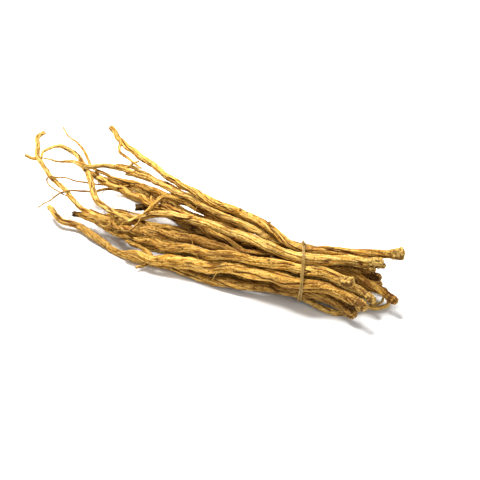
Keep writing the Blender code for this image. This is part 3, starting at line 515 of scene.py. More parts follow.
def smooth_line(points, station):
    """Evenly spaced stations on a Catmull-Rom curve through the points; columns past the third ride along."""
    ends = np.vstack([2 * points[0] - points[1], points, 2 * points[-1] - points[-2]])
    curve = []
    for before, start, end, after in zip(ends, ends[1:], ends[2:], ends[3:]):
        for share in np.linspace(0, 1, 24, endpoint=False):
            curve.append(
                0.5
                * (
                    2 * start
                    + (end - before) * share
                    + (2 * before - 5 * start + 4 * end - after) * share**2
                    + (3 * start - before - 3 * end + after) * share**3
                )
            )
    curve = np.array(curve + [points[-1]])
    along = run_along(curve)
    count = max(3, round(along[-1] / station) + 1)
    wanted = np.linspace(0, along[-1], count)
    return np.column_stack([np.interp(wanted, along, column) for column in curve.T])


def gnarled(line, draw, most):
    """The line with the small bends of a dried root, wider towards its tail and none at its first station."""
    across, upward = ring_frames(line)
    along = run_along(line)
    reach = most * (0.15 + 0.85 * along / along[-1]) * np.clip(along / 20, 0, 1)
    line = line.copy()
    for direction in (across, upward):
        bend = sum(
            share * np.sin(math.tau * along / (wave * draw.uniform(0.85, 1.2)) + draw.uniform(0, math.tau))
            for wave, share in GNARL_WAVES
        )
        line[:, :3] += (reach * bend)[:, None] * direction
    return line


def strands_of_roots():
    """Every trunk and fork as a smooth line, in one list, with the root and the strand that it grows from."""
    strands = []
    for number, (name, root) in enumerate(ROOTS.items()):
        draw = random.Random(500 + number)
        trunk = gnarled(smooth_line(placed(root["trunk"]), STATION), draw, TRUNK_GNARL)
        trunk[:, 3] *= np.linspace(CROWN_FULLNESS, TAIL_FULLNESS, len(trunk))
        slim = trunk[:, 3].copy()
        reach = np.linalg.norm(trunk[:, :3] - trunk[0, :3], axis=1)
        trunk[reach < CROWN_REACH, 3] *= CROWN_SWELL
        family = [len(strands)]
        strands.append({"root": name, "line": trunk, "slim": slim, "drawn": trunk[:, :3], "parent": None})
        for fork in root["forks"]:
            line = smooth_line(placed(fork), FORK_STATION)
            line[:, 3] = np.maximum(line[:, 3] * TAIL_FULLNESS, THINNEST)
            nearest = min(
                (float(np.linalg.norm(strands[one]["line"][i, :3] - line[0, :3])), one, i)
                for one in family
                for i in range(len(strands[one]["line"]))
            )
            line[0, :3] = strands[nearest[1]]["line"][nearest[2], :3]
            line = gnarled(line, draw, FORK_GNARL)
            family.append(len(strands))
            slim = line[:, 3].copy()
            strands.append(
                {"root": name, "line": line, "slim": slim, "drawn": line[:, :3], "parent": nearest[1:]}
            )
    return strands


def closest_on_segments(a, b, c, d):
    """For each pair of segments a-b and c-d, the shares along them of their closest points."""
    one, two, between = b - a, d - c, a - c
    one_one = np.einsum("ij,ij->i", one, one)
    two_two = np.einsum("ij,ij->i", two, two)
    one_two = np.einsum("ij,ij->i", one, two)
    one_between = np.einsum("ij,ij->i", one, between)
    two_between = np.einsum("ij,ij->i", two, between)
    spread = np.maximum(one_one * two_two - one_two**2, 1e-9)
    s = np.clip((one_two * two_between - one_between * two_two) / spread, 0, 1)
    t = np.clip((one_two * s + two_between) / two_two, 0, 1)
    s = np.clip((one_two * t - one_between) / one_one, 0, 1)
    return s, t


def settle(strands):
    """Moves the strands until no root passes through another, the surface or the band's space under it.

    The band's squeeze draws the roots together at the tie. What a station moves is smoothed along its
    strand, and goes more along the line of sight than across it, so the drawn shapes are kept.
    """
    back = view_axes()[2]
    along_band = band_axes()[0]
    sizes = [len(strand["line"]) for strand in strands]
    first = np.concatenate([[0], np.cumsum(sizes)])
    points = np.vstack([strand["line"][:, :3] for strand in strands])
    radii = np.concatenate([strand["line"][:, 3] for strand in strands])
    drawn = points.copy()
    names = list(ROOTS)
    owner = np.concatenate([[names.index(s["root"])] * n for s, n in zip(strands, sizes)])
    index = np.arange(len(points))
    begins = np.isin(index, first[:-1])
    ends = np.isin(index, first[1:] - 1)
    before = np.where(begins, index, index - 1)
    after = np.where(ends, index, index + 1)
    segment = index[~ends]
    bases = [(first[i], first[s["parent"][0]] + s["parent"][1]) for i, s in enumerate(strands) if s["parent"]]
    base, holder = np.array(bases).T
    for step in range(SETTLING_STEPS):
        if step % 10 == 0:
            middle = (points[segment] + points[segment + 1]) / 2
            wide = radii[segment] + STATION
            i, j = np.triu_indices(len(segment), 1)
            apart = owner[segment[i]] != owner[segment[j]]
            i, j = i[apart], j[apart]
            near = np.linalg.norm(middle[i] - middle[j], axis=1) < wide[i] + wide[j]
            i, j = segment[i[near]], segment[j[near]]
        s, t = closest_on_segments(points[i], points[i + 1], points[j], points[j + 1])
        first_at = points[i] + s[:, None] * (points[i + 1] - points[i])
        second_at = points[j] + t[:, None] * (points[j + 1] - points[j])
        need = radii[i] * (1 - s) + radii[i + 1] * s + radii[j] * (1 - t) + radii[j + 1] * t + GAP
        away = first_at - second_at
        distance = np.maximum(np.linalg.norm(away, axis=1), 1e-6)
        push = np.maximum(need - distance, 0)[:, None] * away / distance[:, None] * PUSHED_APART
        moves = np.zeros_like(points)
        for at, share, sign in ((i, 1 - s, 1), (i + 1, s, 1), (j, 1 - t, -1), (j + 1, t, -1)):
            np.add.at(moves, at, sign * share[:, None] * push)
        in_sight = (moves @ back)[:, None] * back
        moves = in_sight + ACROSS_SIGHT * (moves - in_sight)
        points = points + np.clip(moves, -LONGEST_MOVE, LONGEST_MOVE)
        if step < SQUEEZED_STEPS:
            moved = points - drawn
            points = points - HELD_ACROSS_SIGHT * (moved - (moved @ back)[:, None] * back)
            hold = np.clip(1 - np.abs(points[:, 0]) / SQUEEZE_REACH, 0, 1) * SQUEEZE
            points[:, 1:] += hold[:, None] * (TIE[1:] - points[:, 1:])
        left = (SETTLING_STEPS - UNSMOOTHED_STEPS - step) / SMOOTHING_FADES
        smoothing = SMOOTHING * min(1, max(0, left))
        moved = points - drawn
        moved = moved + smoothing * ((moved[before] + moved[after]) / 2 - moved)
        moved[base] = moved[holder]
        points = drawn + moved
        lowest = radii * FLAT_UNDERSIDE
        beside_band = np.abs((points - TIE) @ along_band) < STATION
        lowest = np.where(beside_band, radii + BAND_HEIGHT + BAND_CLEARANCE + SPARE_UNDER_BAND, lowest)
        points[:, 2] = np.maximum(points[:, 2], lowest)
    for number, strand in enumerate(strands):
        strand["line"] = np.column_stack(
            [points[first[number] : first[number + 1]], radii[first[number] : first[number + 1]]]
        )


def ring_frames(line):
    """At each station, the level direction across the strand and the one square to it and to the strand."""
    along = np.gradient(line[:, :3], axis=0)
    along /= np.linalg.norm(along, axis=1)[:, None]
    across = np.cross(along, (0, 0, 1))
    across /= np.maximum(np.linalg.norm(across, axis=1)[:, None], 1e-6)
    return across, np.cross(across, along)


def band_axes():
    """The band's plane: along the bundle, level across it, and up."""
    along = np.array((math.cos(BAND_TURN), math.sin(BAND_TURN), -math.sin(BAND_LEAN)))
    along /= np.linalg.norm(along)
    across = np.cross((0, 0, 1), along)
    across /= np.linalg.norm(across)
    return along, across, np.cross(along, across)


def hull(points):
    """The convex outline of flat points, counter-clockwise."""
    points = sorted(map(tuple, points))
    sides = []
    for order in (points, points[::-1]):
        side = []
        for x, y in order:
            while len(side) > 1:
                (ax, ay), (bx, by) = side[-2:]
                if (bx - ax) * (y - ay) - (by - ay) * (x - ax) > 0:
                    break
                side.pop()
            side.append((x, y))
        sides += side[:-1]
    return np.array(sides)


def band_outline(strands, count):
    """The taut path of the band round every strand that crosses its plane, as points in that plane."""
    along, across, upward = band_axes()
    crossed = []
    for strand in strands:
        line = strand["line"]
        frames = ring_frames(line)
        for shift in (-BAND_WIDTH / 2, 0, BAND_WIDTH / 2):
            depth = (line[:, :3] - TIE) @ along - shift
            for i in np.nonzero(depth[:-1] * depth[1:] <= 0)[0]:
                share = depth[i] / (depth[i] - depth[i + 1])
                x, y, z, radius = line[i] + share * (line[i + 1] - line[i])
                heading = line[i + 1, :3] - line[i, :3]
                for angle in np.linspace(0, math.tau, 24, endpoint=False):
                    rim = np.array((x, y, z)) + (radius + BAND_CLEARANCE) * (
                        math.cos(angle) * frames[0][i] + math.sin(angle) * frames[1][i]
                    )
                    rim = rim - heading * ((rim - TIE) @ along - shift) / (heading @ along)
                    crossed.append(((rim - TIE) @ across, (rim - TIE) @ upward))
    outline = hull(crossed)
    closed = np.vstack([outline, outline[:1]])
    run = np.concatenate([[0], np.cumsum(np.linalg.norm(np.diff(closed, axis=0), axis=1))])
    wanted = np.linspace(0, run[-1], count, endpoint=False)
    return np.column_stack([np.interp(wanted, run, column) for column in closed.T])


def seen_at(points):
    """How far to the right of the band's middle, and how far above it, the viewer sees each point."""
    right, upward, back = view_axes()
    sight = points - (TIE + SEEN_AT_DISTANCE * back)
    reach = SEEN_AT_DISTANCE / -(sight @ back)
    return (sight @ right) * reach, (sight @ upward) * reach


def run_along(line):
    """How far along the line each of its points is."""
    steps = np.linalg.norm(np.diff(line[:, :3], axis=0), axis=1)
    return np.concatenate([[0], np.cumsum(steps)])


def wander(draw, where, wave):
    """A smooth random value from -1 to 1 at each distance, which changes over about one wave."""
    knots = draw.uniform(-1, 1, int(where.max() / wave) + 3)
    place = where / wave
    whole = place.astype(int)
    share = place - whole
    share = share * share * (3 - 2 * share)
    return knots[whole] + share * (knots[whole + 1] - knots[whole])


def folds(draw, where, around, counts, wave, narrow):
    """1 along the bottoms of wandering lengthwise furrows and 0 on the ridges between them."""
    height = 0
    for count in counts:
        phase = draw.uniform(0, math.tau) + 2.6 * wander(draw, where, wave)
        weight = 0.8 + 0.5 * wander(draw, where, wave * 1.7)
        height = height + weight[:, None] * np.sin(count * around + phase[:, None])
    height = height / math.sqrt(len(counts))
    return np.exp(-((height / narrow) ** 2))


def patchy(draw, where, around, wave, least):
    """A soft value from least to 1 that comes and goes along and round a root."""
    lean = draw.uniform(0, math.tau) + 3 * wander(draw, where, wave)
    level = 0.5 + 0.35 * wander(draw, where, wave * 0.8)[:, None] + 0.35 * np.sin(around + lean[:, None])
    return least + (1 - least) * np.clip(level, 0, 1)


def wrinkles(draw, where, around):
    """The close rings across a root's neck: 1 in the creases and 0 between them."""
    apart = 2.0 + 0.9 * wander(draw, where, 9)
    beat = math.tau * np.cumsum(np.gradient(where) / apart)
    lean = draw.uniform(0, math.tau) + wander(draw, where, 15)
    tilt = 0.9 * np.sin(around + lean[:, None]) + 0.6 * np.sin(2 * around - lean[:, None])
    return np.clip(np.sin(beat[:, None] + tilt), 0, 1) ** 2


def lumps(draw, where, around, radius, size, stretch):
    """Low random bumps from -1 to 1, about one size across and drawn out lengthwise."""
    count = max(3, round(math.tau * float(np.median(radius)) / size))
    rows = where / (size * stretch)
    knots = draw.uniform(-1, 1, (int(rows.max()) + 2, count))
    row = rows.astype(int)[:, None]
    turn = (around % math.tau) / math.tau * count
    side = turn.astype(int)
    down = (rows[:, None] - row) ** 2 * (3 - 2 * (rows[:, None] - row))
    over = (turn - side) ** 2 * (3 - 2 * (turn - side))
    near = knots[row, side % count] * (1 - over) + knots[row, (side + 1) % count] * over
    far = knots[row + 1, side % count] * (1 - over) + knots[row + 1, (side + 1) % count] * over
    return near * (1 - down) + far * down


def dots(where, around, radius, places):
    """The sum of round or oval dots: each has its distance along, angle, height, length and width."""
    total = np.zeros((len(where), around.shape[-1]))
    for at, angle, height, long, wide in places:
        off = (around - angle + math.pi) % math.tau - math.pi
        total += height * np.exp(-(((where[:, None] - at) / long) ** 2) - (off * radius[:, None] / wide) ** 2)
    return total


def rows_of(line, neck, close, far, crowned):
    """The rows of a strand's skin: distance along, share of the full radius, and the line's columns there."""
    smooth = smooth_line(line, 0.5)
    along = run_along(smooth)
    near = np.arange(0, min(neck, 0.5 * along[-1]), close)
    rest = np.linspace(near[-1] + close, along[-1], max(4, int((along[-1] - near[-1]) / far)))
    first_end = np.linspace(0, 0.95, 10 if crowned else 3)
    last_end = np.array((0.93, 0.72, 0.4, 0))
    where = np.concatenate([np.zeros(len(first_end)), near, rest, np.full(len(last_end), along[-1])])
    share = np.concatenate([first_end, np.ones(len(near) + len(rest)), last_end])
    across, upward = ring_frames(smooth)
    columns = np.column_stack([smooth, across, upward])
    rows = np.column_stack([np.interp(where, along, column) for column in columns.T])
    return where, share, rows


def warts(draw, points, where):
    """How far each point rises in the lumps of a crown, where old stems broke off."""
    crown = np.argwhere(np.broadcast_to((where < WARTY_REACH)[:, None], points.shape[:2]))
    picked = crown[draw.choice(len(crown), WARTS, replace=False)]
    rise = np.zeros(points.shape[:2])
    for row, side in picked:
        size = draw.uniform(0.5, 1.2)
        apart = np.linalg.norm(points - points[row, side], axis=2) / size
        rise = np.maximum(rise, np.sqrt(np.clip(1 - apart**2, 0, 1)) * size * draw.uniform(0.45, 0.8))
    return rise


def skin(name, points, facts):
    """One smooth closed surface through a grid of points in millimetres, with values for its material."""
    rows, sides = points.shape[:2]
    sheet = bmesh.new()
    bmesh.ops.create_grid(sheet, x_segments=sides - 1, y_segments=rows - 1, size=0.5)
    data = bpy.data.meshes.new(name)
    sheet.to_mesh(data)
    sheet.free()
    flat = np.empty(len(data.vertices) * 3, np.float32)
    data.vertices.foreach_get("co", flat)
    flat = flat.reshape(-1, 3)
    side = np.rint((flat[:, 0] + 0.5) * (sides - 1)).astype(int)
    row = np.rint((flat[:, 1] + 0.5) * (rows - 1)).astype(int)
    data.vertices.foreach_set("co", (points[row, side] * MM).astype(np.float32).ravel())
    for fact, values in facts.items():
        if values.ndim == 3:
            kept = data.attributes.new(fact, "FLOAT_VECTOR", "POINT")
            kept.data.foreach_set("vector", values[row, side].astype(np.float32).ravel())
        else:
            kept = data.attributes.new(fact, "FLOAT", "POINT")
            kept.data.foreach_set("value", values[row, side].astype(np.float32))
    sheet = bmesh.new()
    sheet.from_mesh(data)
    bmesh.ops.remove_doubles(sheet, verts=sheet.verts, dist=2e-6)
    bmesh.ops.recalc_face_normals(sheet, faces=sheet.faces)
    sheet.to_mesh(data)
    sheet.free()
    obj = bpy.data.objects.new(name, data)
    bpy.context.scene.collection.objects.link(obj)
    return obj


def as_deep(relief, thick):
    """A relief's depth where a strand has this radius."""
    share, most = relief
    return np.minimum(share * thick, most)


def barked(name, strand, draw, offset):
    """A trunk, fork or rootlet with its furrows, wrinkles, lenticels and, on a trunk, its warty crown."""
    kind = strand["kind"]
    line = np.column_stack([strand["line"][:, :3], strand["slim"]])
    crowned = kind in ("trunk", "under")
    where, share, rows = rows_of(line, *KINDS[kind]["rows"], crowned)
    sides = KINDS[kind]["sides"]
    centre, radius, across, upward = rows[:, :3], rows[:, 3], rows[:, 4:7], rows[:, 7:10]
    length = where[-1]
    angle = np.linspace(0, math.tau, sides + 1)[None, :]
    twist = draw.uniform(0.01, 0.03) * draw.choice((-1, 1))
    turned = angle + (twist * where + 0.5 * wander(draw, where, 40))[:, None]
    kink = np.clip(where / 12, 0, 1) * np.interp(where, (0, length), KINDS[kind]["kinks"])
    for direction in (across, upward):
        stray = kink * (wander(draw, where, 8) + 0.4 * wander(draw, where, 3.5))
        centre = centre + stray[:, None] * direction
    strand["core"] = centre
    full = radius * (1.03 + 0.055 * wander(draw, where, 11) + 0.035 * wander(draw, where, 4))
    neck = np.zeros(len(where))
    if crowned:
        full = full * np.interp(where, *zip(*CROWN))
        neck = np.clip(1 - where / 60, 0, 1) ** 0.7
    deep = folds(draw, where, turned, (2, 3, 4, 5), 24, 0.16)
    soft = folds(draw, where, turned, (2, 3, 4), 30, 0.7)
    fine = folds(draw, where, turned, (7, 9, 11), 11, 0.34)
    creases = wrinkles(draw, where, turned)
    stay = patchy(draw, where, turned, 22, 0.25)
    thick = full[:, None]
    inward = as_deep(FURROWS, thick) * deep * stay + as_deep(SOFT_HOLLOWS, thick) * soft
    inward = inward + as_deep(FINE_WRINKLES, thick) * fine * patchy(draw, where, turned, 9, 0.35)
    rings = creases * patchy(draw, where, turned, 12, 0.0)
    inward = inward + rings * (RINGS_AT_CROWN * neck + RINGS_EVERYWHERE)[:, None]
    oval = 0.5 + 0.5 * np.cos(2 * turned + 2 * wander(draw, where, 50)[:, None])
    inward = inward + OUT_OF_ROUND * thick * oval
    inward = inward + as_deep(SMALL_LUMPS, thick) * lumps(draw, where, turned, full, 1.4, 1.5)
    inward = inward + as_deep(LARGE_LUMPS, thick) * lumps(draw, where, turned, full, 3.0, 2.0)
    lenticels = [
        (
            draw.uniform(2, length), draw.uniform(0, math.tau),
            draw.uniform(0.1, 0.26), 0.4, draw.uniform(0.6, 1.3),
        )
        for _ in range(int(length / KINDS[kind]["lenticel_every"]))
    ]
    scars = [
        (
            draw.uniform(14, length), draw.uniform(0, math.tau),
            draw.uniform(0.5, 1.0), draw.uniform(0.8, 1.3), 1.1,
        )
        for _ in range(int(length / KINDS[kind]["scar_every"]))
    ]
    scars += marks_on(strand, line)
    raised = [(at, turn, 0.5 * size, long, wide) for at, turn, size, long, wide in scars]
    sunk = [(at, turn, size, 0.55 * long, 0.5 * wide) for at, turn, size, long, wide in scars]
    knobs = dots(where, angle, full, raised)
    pits = dots(where, angle, full, sunk)
    specks = np.minimum(dots(where, angle, full, lenticels), HIGHEST_LENTICEL)
    reach = np.maximum(thick - inward + specks + knobs - PIT_IN_SCAR * pits, THINNEST_LEFT * thick)
    spoke = np.cos(angle)[..., None] * across[:, None] + np.sin(angle)[..., None] * upward[:, None]
    points = centre[:, None] + (share[:, None] * reach)[..., None] * spoke
    heading = np.cross(upward, across)
    crown = np.zeros(reach.shape)
    if crowned:
        outward = share[:, None, None] * spoke - np.sqrt(1 - share**2)[:, None, None] * heading[:, None]
        points = points - (0.7 * (1 - share**2) * (where < 1))[:, None, None] * heading[:, None]
        headed = np.clip((11 - where) / 4, 0, 1)[:, None]
        rise = warts(draw, points, where)
        points = points + (headed * (rise - 0.3))[..., None] * outward
        crown = headed * np.clip(0.2 + 1.2 * rise, 0, 1) * (1 - 0.75 * strand["tone"][0])
        # On the crown the painted shade moves to the low places between the warts.
        deep = np.maximum(deep * (1 - 0.6 * headed), headed * np.clip(1 - 2.6 * rise, 0, 1))
    ragged = draw.uniform(-0.4, 0.5, sides)
    ragged = np.append(ragged, ragged[0])
    torn = np.clip((where - length + 1.2) / 1.2, 0, 1)[:, None] * share[:, None] * np.minimum(thick, 1.5)
    points = points + (torn * ragged)[..., None] * heading[:, None]
    points = points + strand["shift"]
    points[..., 2] = np.maximum(points[..., 2], 0)
    tone = np.interp(where, (5, 14, length / 2, length), strand["tone"]) + 0.22 * wander(draw, where, 30)
    singed = np.clip((where - length + strand["dark_end"]) / 5, 0, 1)[:, None] * (strand["dark_end"] > 0)
    bark = np.stack(
        [
            np.broadcast_to(where[:, None] + offset, reach.shape),
            thick * np.cos(turned),
            thick * np.sin(turned),
        ],
        axis=-1,
    )
    facts = {
        "bark": bark * MM,
        # Painted shade: the furrows, fine creases, neck rings and soft hollows are darkened in the bark's
        # colour.
        "furrow_shade": np.clip(1.05 * deep * stay + 0.4 * fine + 0.3 * rings * neck[:, None] + 0.2 * soft, 0, 1),
        "tone": np.clip(np.broadcast_to(tone[:, None], reach.shape), 0, 1),
        "crown": crown,
        "scar": np.clip(pits + singed * (0.8 + 0.2 * fine), 0, 1),
    }
    return skin(name, points, facts)


def marks_on(strand, line):
    """The dark knobs that are listed for this strand, as dots on its surface."""
    found = []
    right, upward, back = view_axes()
    seen = np.column_stack(seen_at(line[:, :3]))
    across, up = ring_frames(line)
    along = run_along(line)
    for at_right, at_up, size, wide in strand["marks"]:
        off = np.array((at_right, at_up)) - seen
        i = int(np.argmin(np.linalg.norm(off, axis=1)))
        aside = np.clip(off[i] / line[i, 3], -0.9, 0.9)
        toward = aside[0] * right + aside[1] * upward + math.sqrt(max(0.1, 1 - aside @ aside)) * back
        found.append((along[i], math.atan2(toward @ up[i], toward @ across[i]), size, wide, wide))
    return found


def rootlets_of(strand, draw):
    """Short broken rootlets that stand off the tail half of a strand."""
    line = strand["line"]
    across, upward = ring_frames(line)
    length = run_along(line)[-1]
    made = []
    for _ in range(int(length / KINDS[strand["kind"]]["rootlet_every"])):
        i = int(draw.uniform(0.45, 0.97) * (len(line) - 1))
        turn = draw.uniform(-0.6, math.pi + 0.6)
        outward = math.cos(turn) * across[i] + math.sin(turn) * upward[i]
        heading = line[i + 1, :3] - line[i, :3]
        heading = heading / np.linalg.norm(heading) * draw.uniform(0.5, 1.4)
        long = draw.uniform(2.0, 6.5)
        curl = draw.normal(0, 0.3, 3)
        share = np.linspace(0, 1, 5)[:, None]
        points = line[i, :3] + outward * (line[i, 3] + long) * share**1.2 + heading * long * share**1.8
        points = points + curl * long * share**2
        slim = np.linspace(draw.uniform(0.3, 0.5), 0.16, 5)
        made.append({"kind": "rootlet", "line": np.column_stack([points, slim]), "slim": slim})
    return made


def threads_of(name, own):
    """The long hair-thin rootlets, moved as the strand that each one starts on has settled."""
    made = []
    for thread in THREADS.get(name, ()):
        points = placed(thread)
        drawn = np.vstack([strand["drawn"] for strand in own])
        settled = np.vstack([strand["line"][:, :3] for strand in own])
        nearest = int(np.argmin(np.linalg.norm(drawn - points[0, :3], axis=1)))
        points[:, :3] += settled[nearest] - drawn[nearest]
        points[:, 3] *= THREAD_FULLNESS
        made.append({"kind": "thread", "line": points, "slim": points[:, 3]})
    return made


def grow_from(rootlet, own):
    """Moves a rootlet or thread so that it starts in the middle of the strand that it grows from."""
    cores = np.vstack([strand["core"] for strand in own])
    off = cores - rootlet["line"][0, :3]
    rootlet["line"][:, :3] += off[np.argmin(np.linalg.norm(off, axis=1))]


def sheets_of(skin_mesh):
    """The faces in groups that hang together over edges with two faces each, the largest group first."""
    skin_mesh.faces.index_update()
    seen = set()
    groups = []
    for face in skin_mesh.faces:
        if face.index in seen:
            continue
        seen.add(face.index)
        group = [face]
        for one in group:
            for edge in one.edges:
                if len(edge.link_faces) == 2:
                    for other in edge.link_faces:
                        if other.index not in seen:
                            seen.add(other.index)
                            group.append(other)
        groups.append(group)
    return sorted(groups, key=len, reverse=True)


MENDING_ROUNDS = 6
SLIVER = 1e-6


def mend(data):
    """Clears what a join leaves behind: slivers, sealed bubbles inside and edges where several faces meet."""
    skin_mesh = bmesh.new()
    skin_mesh.from_mesh(data)
    for turn in range(MENDING_ROUNDS):
        least = SLIVER * (turn + 1)
        bmesh.ops.triangulate(skin_mesh, faces=skin_mesh.faces)
        bmesh.ops.remove_doubles(skin_mesh, verts=skin_mesh.verts, dist=least)
        bmesh.ops.dissolve_degenerate(skin_mesh, edges=skin_mesh.edges, dist=least)
        bmesh.ops.triangulate(skin_mesh, faces=skin_mesh.faces)
        spare = [face for group in sheets_of(skin_mesh)[1:] for face in group]
        bmesh.ops.delete(skin_mesh, geom=spare, context="FACES")
        crowded = [face for face in skin_mesh.faces if any(len(edge.link_faces) > 2 for edge in face.edges)]
        bmesh.ops.delete(skin_mesh, geom=crowded, context="FACES")
        rim = [edge for edge in skin_mesh.edges if len(edge.link_faces) == 1]
        bmesh.ops.holes_fill(skin_mesh, edges=rim, sides=0)
        if not spare and not crowded and not rim:
            break
    skin_mesh.to_mesh(data)
    skin_mesh.free()


def join(trunk, others):
    """Makes the trunk and what grows from it one body."""
    growing = bpy.data.collections.new("growing")
    bpy.context.scene.collection.children.link(growing)
    for other in others:
        bpy.context.scene.collection.objects.unlink(other)
        growing.objects.link(other)
    union = trunk.modifiers.new("join", "BOOLEAN")
    union.operation = "UNION"
    union.operand_type = "COLLECTION"
    union.collection = growing
    union.solver = "MANIFOLD"
    bpy.context.view_layer.update()
    graph = bpy.context.evaluated_depsgraph_get()
    joined = bpy.data.meshes.new_from_object(trunk.evaluated_get(graph))
    trunk.modifiers.clear()
    mend(joined)
    trunk.data = joined
    for other in others:
        bpy.data.objects.remove(other, do_unlink=True)
    bpy.data.collections.remove(growing)


def make_roots(strands, shift):
    """Every root of the bundle, one piece each."""
    made = {}
    for number, name in enumerate(ROOTS):
        draw = np.random.default_rng(40 + number)
        own = [strand for strand in strands if strand["root"] == name]
        for strand in own:
            strand["kind"] = "fork"
        own[0]["kind"] = "under" if name in LOWER_ROOTS else "trunk"
        growing = threads_of(name, own)
        for strand in own:
            growing += rootlets_of(strand, draw)
        pieces = []
        for order, strand in enumerate(own + growing):
            strand["shift"] = shift
            at_tail = THREAD_TONE if strand["kind"] == "thread" else TONES[name][-1]
            strand["tone"] = TONES[name] if order == 0 else (at_tail,) * 4
            strand["dark_end"] = DARK_ENDS.get(name, {}).get(order, 0)
            strand["marks"] = KNOBS.get(name, ()) if order == 0 else ()
            if order >= len(own):
                grow_from(strand, own)
            offset = ROOT_APART * number + STRAND_APART * order
            pieces.append(barked(name.replace("root", "dried_root"), strand, draw, offset))
        if len(pieces) > 1:
            join(pieces[0], pieces[1:])
        pieces[0].data.shade_smooth()
        made[name] = pieces[0]
    return made


def band_rim(outline, section):
    """The section's points at every point of the band's path."""
    along, across, upward = band_axes()
    heading = np.roll(outline, -1, axis=0) - np.roll(outline, 1, axis=0)
    outward = np.column_stack([heading[:, 1], -heading[:, 0]])
    outward /= np.linalg.norm(outward, axis=1)[:, None]
    section = np.asarray(section, float)
    if section.ndim == 2:
        section = np.broadcast_to(section, (len(outline), *section.shape))
    flat = outline[:, None] + outward[:, None] * section[..., 1:]
    return TIE + flat[..., :1] * across + flat[..., 1:] * upward + section[..., :1] * along


def make_band(strands, shift):
    """The rubber band's two turns, side by side, each a flat strip with soft edges.

    On top of the bundle the first turn has some slack, which stands up in a small pinched fold.
    """
    draw = np.random.default_rng(7)
    outline = band_outline(strands, FINE_BAND_POINTS)
    for _ in range(BAND_SMOOTHINGS):
        outline = (np.roll(outline, 1, axis=0) + 2 * outline + np.roll(outline, -1, axis=0)) / 4
    share = np.linspace(0, math.tau, len(outline), endpoint=False)
    top = share[np.argmax(outline[:, 1])]
    slack = np.exp(-(((share - top + math.pi) % math.tau - math.pi) / FOLD_WIDTH) ** 2)
    strips = []
    for order, side in enumerate((-1, 1)):
        sway = 0.13 * np.sin(2 * share + order) + 0.08 * np.sin(5 * share + draw.uniform(0, math.tau))
        middle = side * TURN_ASIDE + sway * side
        turn = np.linspace(0, math.tau, 21)
        wide = TURN_HALF_WIDTH * np.sign(np.cos(turn)) * np.abs(np.cos(turn)) ** TURN_ROUNDNESS
        high = TURN_HALF_HEIGHT * np.sign(np.sin(turn)) * np.abs(np.sin(turn)) ** TURN_ROUNDNESS
        lift = TURN_LIFT + 0.06 * np.sin(3 * share + 2 * order) + FOLD_HEIGHTS[order] * slack
        section = np.stack(
            [
                middle[:, None] + wide[None, :] * (1 + 0.05 * np.sin(7 * share))[:, None],
                lift[:, None] + high[None, :] + 0 * share[:, None],
            ],
            axis=-1,
        )
        rim = band_rim(outline, section)
        rim = np.concatenate([rim, rim[:1]]) + shift
        run = np.linspace(0, run_along(np.vstack([outline, outline[:1]]))[-1], len(rim))
        bark = np.stack(
            [
                np.broadcast_to(run[:, None], rim.shape[:2]),
                np.broadcast_to(wide[None, :] + 5 * order, rim.shape[:2]),
                np.broadcast_to(high[None, :], rim.shape[:2]),
            ],
            axis=-1,
        )
        strips.append(skin("band_turn", rim, {"bark": bark * MM}))
    return strips


def feed(tree, socket, value):
    """Links a value from another node, or sets a plain one."""
    if isinstance(value, bpy.types.NodeSocket):
        tree.links.new(value, socket)
    elif isinstance(value, tuple) and len(value) == 3 and socket.type == "RGBA":
        socket.default_value = (*value, 1)
    else:
        socket.default_value = value


def noise(tree, place, stretch, detail, rough=0.6, warp=0.0):
    """Noise that is drawn out along a root: stretch is how many times it repeats in a metre each way."""
    mapping = tree.nodes.new("ShaderNodeMapping")
    tree.links.new(place, mapping.inputs["Vector"])
    mapping.inputs["Scale"].default_value = stretch
    texture = tree.nodes.new("ShaderNodeTexNoise")
    tree.links.new(mapping.outputs["Vector"], texture.inputs["Vector"])
    texture.inputs["Scale"].default_value = 1
    texture.inputs["Detail"].default_value = detail
    texture.inputs["Roughness"].default_value = rough
    texture.inputs["Distortion"].default_value = warp
    return texture.outputs["Fac"]


def between(tree, value, low, high, least=0.0, most=1.0):
    """The value brought softly from low..high to least..most."""
    node = tree.nodes.new("ShaderNodeMapRange")
    node.interpolation_type = "SMOOTHSTEP"
    feed(tree, node.inputs["Value"], value)
    node.inputs["From Min"].default_value = low
    node.inputs["From Max"].default_value = high
    node.inputs["To Min"].default_value = least
    node.inputs["To Max"].default_value = most
    return node.outputs["Result"]


def mixed(tree, share, one, two, way="MIX"):
    """Two colours mixed by a share."""
    node = tree.nodes.new("ShaderNodeMix")
    node.data_type = "RGBA"
    node.blend_type = way
    feed(tree, node.inputs[0], share)
    feed(tree, node.inputs[6], one)
    feed(tree, node.inputs[7], two)
    return node.outputs[2]


def worked(tree, how, one, two):
    """One sum on two values."""
    node = tree.nodes.new("ShaderNodeMath")
    node.operation = how
    node.use_clamp = how in ("ADD", "MULTIPLY")
    feed(tree, node.inputs[0], one)
    feed(tree, node.inputs[1], two)
    return node.outputs[0]


def new_group(name, inputs, outputs):
    """An empty shader node group with named inputs and outputs."""
    tree = bpy.data.node_groups.new(name, "ShaderNodeTree")
    for label, kind in inputs:
        tree.interface.new_socket(label, in_out="INPUT", socket_type=kind)
    for label, kind in outputs:
        tree.interface.new_socket(label, in_out="OUTPUT", socket_type=kind)
    came = tree.nodes.new("NodeGroupInput").outputs
    gives = tree.nodes.new("NodeGroupOutput").inputs
    return tree, came, gives


